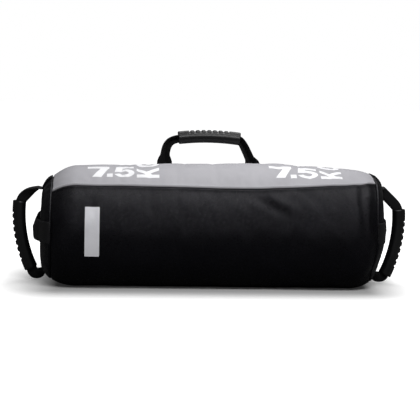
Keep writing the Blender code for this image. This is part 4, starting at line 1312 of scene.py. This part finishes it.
def laid_on_roll(name, mesh, t_start, turn_start, finish_name):
    """Wraps a flat mesh (x along the bag, y up over it) round the roll, with its origin at a place."""
    bm = bmesh.new()
    bm.from_mesh(mesh)
    for axis, normal in ((0, (1, 0, 0)), (1, (0, 1, 0))):
        values = [v.co[axis] for v in bm.verts]
        low, high = min(values), max(values)
        for cut in span(low, high, max(1, int((high - low) / PRINT_CUT)))[1:-1]:
            everything = bm.verts[:] + bm.edges[:] + bm.faces[:]
            bmesh.ops.bisect_plane(bm, geom=everything, plane_co=[n * cut for n in normal], plane_no=normal)
    for vertex in bm.verts:
        t, turn = t_start + vertex.co.x, turn_start - degrees_over(vertex.co.y)
        vertex.co = surface(t, turn, cloth_rise(t, turn) + PRINT_LIFT)
    laid = mesh_of(bm, name)
    laid.shade_smooth()
    laid.materials.append(FINISH[finish_name])
    made = linked(name, laid)
    laid.update()
    first = laid.polygons[0]
    if first.normal.dot(first.center - Vector((first.center.x, 0, AXIS_HEIGHT))) < 0:
        laid.flip_normals()
    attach(made, "bag")


def elbow(centre, radii, first, last, steps=14):
    """Points round part of an ellipse, angles in degrees."""
    angles = [math.radians(angle) for angle in span(first, last, steps)]
    return [(centre[0] + radii[0] * math.cos(a), centre[1] + radii[1] * math.sin(a)) for a in angles]


# Plain block characters, each in a box of width and height 1
SEVEN = [(0.0, 1.0), (0.0, 0.74), (0.60, 0.74), (0.22, 0.0), (0.63, 0.0), (1.0, 0.80), (1.0, 1.0)]
POINT = [(0.0, 0.0), (1.0, 0.0), (1.0, 1.0), (0.0, 1.0)]
FIVE = [(0.92, 1.0), (0.14, 1.0), (0.05, 0.42), (0.33, 0.42)]
FIVE += elbow((0.48, 0.335), (0.21, 0.135), 140, -160)
FIVE += elbow((0.48, 0.335), (0.47, 0.345), -160, 102)
FIVE += [(0.42, 0.76), (0.92, 0.76)]
LETTER_K = [(0.0, 0.0), (0.27, 0.0), (0.27, 0.29), (0.37, 0.39), (0.66, 0.0), (1.0, 0.0), (0.55, 0.57)]
LETTER_K += [(0.97, 1.0), (0.64, 1.0), (0.27, 0.60), (0.27, 1.0), (0.0, 1.0)]
LETTER_G = elbow((0.50, 0.50), (0.50, 0.51), 36, 318, 26)
LETTER_G += [(1.0, 0.20), (1.0, 0.56), (0.53, 0.56), (0.53, 0.38), (0.72, 0.38), (0.72, 0.30)]
LETTER_G += elbow((0.50, 0.50), (0.22, 0.27), -44, -324, 22)


# The weight marks: each one's left edge along the bag, the width of its number, and the turn of its foot
MARKS = (("left", -0.2243, 0.0843), ("right", 0.0980, 0.0890))
MARK_FOOT_TURN, UNIT_FOOT_TURN = 121.5, 122.3
NUMBER_HEIGHT = 0.0405
# Each character's left edge, width and height
NUMBER_SHARES = ((SEVEN, 0.0, 0.455, 1.0), (POINT, 0.405, 0.120, 0.26), (FIVE, 0.54, 0.46, 1.0))
UNIT_HEIGHT, UNIT_GAP = 0.0395, 0.0020
UNIT_LETTERS = ((LETTER_K, 0.0, 0.0345), (LETTER_G, 0.0380, 0.0370))  # left, width
PATCH = {"width": 0.025, "height": 0.086, "corner": 0.0012, "t": -0.214, "turn": 176.5}


def flat_characters(placed):
    """Characters filled in, each given as (outline, left, low, width, height), as one flat mesh."""
    bm = bmesh.new()
    for outline, left, low, width, height in placed:
        face = bm.faces.new([bm.verts.new((left + width * x, low + height * y, 0)) for x, y in outline])
        face.normal_update()
        if face.normal.z < 0:
            face.normal_flip()
    bmesh.ops.triangulate(bm, faces=bm.faces, ngon_method="EAR_CLIP")
    return mesh_of(bm, "characters")


def weight_marks():
    """The plain weight in white at both ends of the grey panel, with its unit turned to read upwards."""
    for word, left, width in MARKS:
        number = flat_characters([
            (outline, width * start, 0.0, width * wide, NUMBER_HEIGHT * high)
            for outline, start, wide, high in NUMBER_SHARES
        ])
        finish, slot = "white_print", "grey_coated_fabric"
        laid_on_roll(f"{word}_weight_number", number, left, MARK_FOOT_TURN, finish)
        unit = flat_characters([
            (outline, start, -UNIT_HEIGHT, wide, UNIT_HEIGHT) for outline, start, wide in UNIT_LETTERS
        ])
        unit.transform(Matrix.Rotation(math.radians(90), 4, "Z"))
        left += width + UNIT_GAP
        laid_on_roll(f"{word}_weight_unit", unit, left, UNIT_FOOT_TURN, finish)


def blank_patch():
    """The bare rectangle of paler print at the left of the front."""
    corner = PATCH["corner"]
    across, up = PATCH["width"] / 2 - corner, PATCH["height"] / 2 - corner
    outline = []
    for side, end, start in ((1, 1, 0), (-1, 1, 90), (-1, -1, 180), (1, -1, 270)):
        outline += elbow((side * across, end * up), (corner, corner), start, start + 90, 6)
    bm = bmesh.new()
    bm.faces.new([bm.verts.new((x, y, 0)) for x, y in outline])
    patch = mesh_of(bm, "patch")
    laid_on_roll("blank_patch", patch, PATCH["t"], PATCH["turn"], "patch_print")


# Inside

INSIDE_POINTS = 72
WADDING_INSET, WADDING_LUMP = 0.0078, 0.0012
WADDING_HALF, WADDING_BORE = 0.2400, 0.0535
DISC_START = 0.2415
FACE_FIRST, FACE_LAST = 0.008, 0.058  # rings of the disc's flat face, past the end corner
AROUND = 48
NECK_PLACE, NECK_SPREAD, NECK_GATHERS = -0.209, 0.03, 12
LINER_RADIUS, LINER_INSIDE, SAND_RADIUS = 0.0512, 0.0500, 0.0494
LINER_BEND_PLACE = 0.2220


def declare_inside(thing, node):
    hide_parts(node)
    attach(thing, "bag")


def wadding_ring(t, turns):
    """Points round the roll, sunk into it and a little lumpy."""
    lumps = [noise.noise(Vector((t * 20, math.radians(turn) * 2.5, 5.0))) for turn in turns]
    return [surface(t, turn, WADDING_LUMP * lump - WADDING_INSET) for turn, lump in zip(turns, lumps)]


def wadding_roll(turns):
    """The padding round the sand, with a bore for the liner."""
    stations = span(-WADDING_HALF, WADDING_HALF, 24)
    points = [point for t in stations for point in wadding_ring(t, turns)]
    for t in reversed(stations):
        for turn in turns:
            a = math.radians(turn)
            points.append(Vector((t, WADDING_BORE * math.cos(a), AXIS_HEIGHT + WADDING_BORE * math.sin(a))))
    roll = new_object("wadding_roll", points, joined_faces(2 * len(stations), len(turns)), FINISH["wadding"])
    outward(roll)
    declare_inside(roll, "padding_roll")


def wadding_disc(side, word, turns):
    stations = span(DISC_START, CORNER_END, 14) + span(CORNER_END + FACE_FIRST, CORNER_END + FACE_LAST, 6)
    points = [point for t in stations for point in wadding_ring(side * t, turns)]
    faces = capped_faces(len(stations), len(turns))
    disc = new_object(f"{word}_wadding_disc", points, faces, FINISH["wadding"])
    outward(disc)
    declare_inside(disc, f"{word}_padding_disc")


def turned_piece(name, profile, finish_name, node, gathers=0.0):
    """A profile of (along, radius) turned round the bag's axis, with soft gathers at its neck."""
    points = []
    for along, radius in profile:
        for k in range(AROUND):
            a = 2 * math.pi * k / AROUND
            wave = 1 + gathers * math.sin(NECK_GATHERS * a) * bump(along, NECK_PLACE, NECK_SPREAD)
            r = max(radius, 0.0004) * wave
            points.append(Vector((along, r * math.cos(a), AXIS_HEIGHT + r * math.sin(a))))
    piece = new_object(name, points, capped_faces(len(profile), AROUND), FINISH[finish_name])
    outward(piece)
    declare_inside(piece, node)


def bottom_bend(radius, bend, first, last):
    """The rounded bottom edge of the liner or the sand, as (along, radius)."""
    angles = span(first, last, 6)
    return [(LINER_BEND_PLACE + bend * math.sin(a), radius - bend + bend * math.cos(a)) for a in angles]


def liner_and_sand():
    """The filled liner, gathered into a neck under its tie, and the settled sand."""
    outer = [(0.2400, 0.0), *bottom_bend(LINER_RADIUS, 0.018, math.pi / 2, 0)]
    outer += [(x, LINER_RADIUS) for x in span(0.20, -0.178, 10)]
    outer += [(-0.186, 0.046), (-0.198, 0.026), (-0.208, 0.0112), (-0.230, 0.0112)]
    inner = [(-0.230, 0.0100), (-0.208, 0.0100), (-0.197, 0.025), (-0.186, 0.0446)]
    inner += [(x, LINER_INSIDE) for x in span(-0.178, 0.20, 10)]
    inner += bottom_bend(LINER_INSIDE, 0.0168, 0, math.pi / 2) + [(0.2388, 0.0)]
    turned_piece("liner_bag", outer + inner, "liner_cloth", "sand_liner", gathers=0.02)
    fill = [(-0.1775, 0.0), (-0.1775, 0.040), (-0.170, 0.0485)]
    fill += [(x, SAND_RADIUS) for x in span(-0.155, 0.215, 12)]
    fill += bottom_bend(SAND_RADIUS, 0.016, 0, math.pi / 2) + [(0.2380, 0.0)]
    turned_piece("settled_sand", fill, "sand", "sand_fill")


def seam_tape(name, node, places, flat, faces):
    """Tape behind a seam, through places of (t, turn)."""
    points = [surface(t, turn, -TAPE_INSET) for t, turn in places]
    tape = new_object(name, points, faces, FINISH["binding_tape"])
    set_uv(tape, flat)
    outward(tape)
    thicken(tape, TAPE)
    declare_inside(tape, node)


def end_seam_tape(side, word, turns):
    """The tape behind the seam round an end."""
    stations = span(END_SEAM_STATION - END_TAPE_HALF, END_SEAM_STATION + END_TAPE_HALF, 8)
    places = [(side * t, turn) for t in stations for turn in turns]
    flat = [(abs(t), math.radians(turn) * MAP_RADIUS) for t, turn in places]
    faces = grid_faces(len(stations), len(turns), around=True)
    seam_tape(f"{word}_seam_backing", f"{word}_end_seam_tape", places, flat, faces)


def long_seam_tape(word, middle_turn):
    """The tape behind a seam along the bag."""
    half_turn = degrees_over(TAPE_WIDTH / 2)
    stations = span(-LONG_TAPE_HALF, LONG_TAPE_HALF, 90)
    turns = span(middle_turn - half_turn, middle_turn + half_turn, 8)
    places = [(t, turn) for t in stations for turn in turns]
    flat = [(math.radians(turn) * MAP_RADIUS, t) for t, turn in places]
    seam_tape(f"{word}_seam_backing", f"{word}_seam_tape", places, flat, grid_faces(len(stations), len(turns)))


def inside_pieces():
    turns = span(0, 360, INSIDE_POINTS)[:-1]
    wadding_roll(turns)
    for side, word in SIDES:
        wadding_disc(side, word, turns)
    for side, word in SIDES:
        end_seam_tape(side, word, turns)
    long_seam_tape("front", FRONT_SEAM)
    long_seam_tape("back", BACK_SEAM)
    liner_and_sand()


def dress_kept_nodes():
    """The CAD nodes whose shape is right keep it, and get their finish."""
    for node, name in (
        ("liner_tie", "binding_tape"),
        ("zip_upper_tape", "zip_nylon"), ("zip_lower_tape", "zip_nylon"),
        ("zip_slider", "zip_metal"), ("zip_pull", "zip_metal"),
    ):
        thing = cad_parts[node]
        thing.data.materials.clear()
        thing.data.materials.append(FINISH[name])


# Stage

# The floor as seen, as it lights things, and in reflections
FLOOR_WHITE, FLOOR_BOUNCE, FLOOR_MIRRORED = 0.80, 0.50, 0.05
FLOOR_DROP = 0.0006
PAINTED_SHADOW_HALF_SIZES = (0.275, 0.09)  # the floor glows beyond this rectangle, the bag's own footprint; over it the glow is dimmed, a painted shadow under the bag
# how far past the footprint the painted shadow fades out before the glow is full
PAINTED_SHADOW_REACH = 0.17
# the glow over the footprint, where the painted shadow is deepest
GLOW_IN_PAINTED_SHADOW = 0.02
GLOSSY_SHARE = 0.06  # of the white that reflections see
WORLD_LIGHT = 0.05
# Each lamp's place, what it is aimed at, its size and its power
LAMPS = (
    ("overhead", (0.14, 0.22, 1.15), (0.08, 0.04, 0.1), (0.95, 0.80), 10.6),
    ("front_high", (0.25, -1.50, 1.48), (0.05, 0, 0.10), (1.5, 0.8), 21),
)
CAMERA_YAW = -5.0  # degrees, with the left end the nearer one
CAMERA_ELEVATION = 7.0
CAMERA_ROLL = 1.5
CAMERA_DISTANCE = 2.15
CAMERA_AIM = (-0.0030, 0.0, 0.1320)
LENS, SENSOR = 101.6, 36  # in millimetres


def grey(level):
    return (level, level, level, 1)


def seen_share(g, rays):
    """How much of the plain white a ray gets: all of it for the camera, a little in reflections."""
    seen = g.sum("MAXIMUM", rays["Is Camera Ray"], rays["Is Transmission Ray"])
    return g.sum("MAXIMUM", seen, g.sum("MULTIPLY", rays["Is Glossy Ray"], GLOSSY_SHARE))


def floor_white():
    """White with no visible end, that keeps the object's shadow and throws little light back up. Its glow is
    dimmed over and round the bag's footprint, a painted shadow under the bag.
    """
    white = bpy.data.materials.new("studio_floor")
    white.use_nodes = True
    g = Graph(white.node_tree)
    shader = white.node_tree.nodes["Principled BSDF"]
    shader.inputs["Roughness"].default_value = 0.9
    shader.inputs["Specular IOR Level"].default_value = 0.0
    rays = g.node("ShaderNodeLightPath").outputs
    seen = seen_share(g, rays)
    bounced = g.between(rays["Is Glossy Ray"], grey(FLOOR_BOUNCE), grey(FLOOR_MIRRORED))
    g.join(g.between(seen, bounced, grey(FLOOR_WHITE)), shader.inputs["Base Color"])
    place = g.axes(object_place(g))
    beyond = []
    for axis, half in enumerate(PAINTED_SHADOW_HALF_SIZES):
        past = g.sum("MAXIMUM", g.sum("SUBTRACT", g.sum("ABSOLUTE", place[axis]), half), 0.0)
        beyond.append(g.sum("POWER", past, 2.0))
    away = g.sum("SQRT", g.sum("ADD", *beyond))
    glow = g.node("ShaderNodeEmission")
    # The glow is dim over the bag's footprint and comes up to full away from it: a painted shadow round the
    # bag.
    strength = g.scaled(away, 0.0, PAINTED_SHADOW_REACH, GLOW_IN_PAINTED_SHADOW, 1.0)
    g.join(g.sum("MULTIPLY", seen, strength), glow.inputs["Strength"])
    both = g.node("ShaderNodeAddShader")
    g.join(shader.outputs[0], both.inputs[0])
    g.join(glow.outputs[0], both.inputs[1])
    g.join(both.outputs[0], white.node_tree.nodes["Material Output"].inputs["Surface"])
    return white


def stage_floor():
    bm = bmesh.new()
    bmesh.ops.create_grid(bm, x_segments=1, y_segments=1, size=9)
    mesh = mesh_of(bm, "floor")
    mesh.materials.append(floor_white())
    floor = linked("floor", mesh)
    floor.location = (0, 0, -FLOOR_DROP)


def soft_lamp(name, place, aim, size, power):
    data = bpy.data.lights.new(name, "AREA")
    data.shape = "RECTANGLE"
    data.size, data.size_y = size
    data.energy = power
    lamp = linked(name, data)
    lamp.location = place
    lamp.rotation_euler = (Vector(aim) - Vector(place)).to_track_quat("-Z", "Y").to_euler()


def studio_light():
    world = bpy.data.worlds.new("studio")
    world.use_nodes = True
    bpy.context.scene.world = world
    g = Graph(world.node_tree)
    back = world.node_tree.nodes["Background"]
    seen = seen_share(g, g.node("ShaderNodeLightPath").outputs)
    g.join(g.scaled(seen, 0.0, 1.0, WORLD_LIGHT, 1.0), back.inputs["Strength"])
    back.inputs["Color"].default_value = grey(1)
    for lamp in LAMPS:
        soft_lamp(*lamp)


def photo_camera():
    """The camera at the photograph's place: a little above, a little round to the left, and slightly turned."""
    yaw, elevation = math.radians(CAMERA_YAW), math.radians(CAMERA_ELEVATION)
    level = math.cos(elevation)
    back = Vector((math.sin(yaw) * level, -math.cos(yaw) * level, math.sin(elevation)))
    data = bpy.data.cameras.new("photo_camera")
    data.lens, data.sensor_width = LENS, SENSOR
    camera = linked("photo_camera", data)
    turn = Matrix.Rotation(math.radians(CAMERA_ROLL), 4, "Z")
    facing = (-back).to_track_quat("-Z", "Y").to_matrix().to_4x4() @ turn
    camera.matrix_world = Matrix.Translation(Vector(CAMERA_AIM) + back * CAMERA_DISTANCE) @ facing
    bpy.context.scene.camera = camera


# Making

def build():
    bpy.context.scene.view_settings.view_transform = "Standard"
    photo_camera()
    make_finishes()
    body_panels()
    for side, word in SIDES:
        end_cloth(side, word)
    end_band(-1, "left", LEFT_BAND)
    end_band(1, "right", RIGHT_BAND)
    side_handle(-1, "left", LEFT_HANDLE)
    side_handle(1, "right", RIGHT_HANDLE)
    top_handle()
    seam_stitches()
    weight_marks()
    blank_patch()
    inside_pieces()
    dress_kept_nodes()
    stage_floor()
    studio_light()


build()
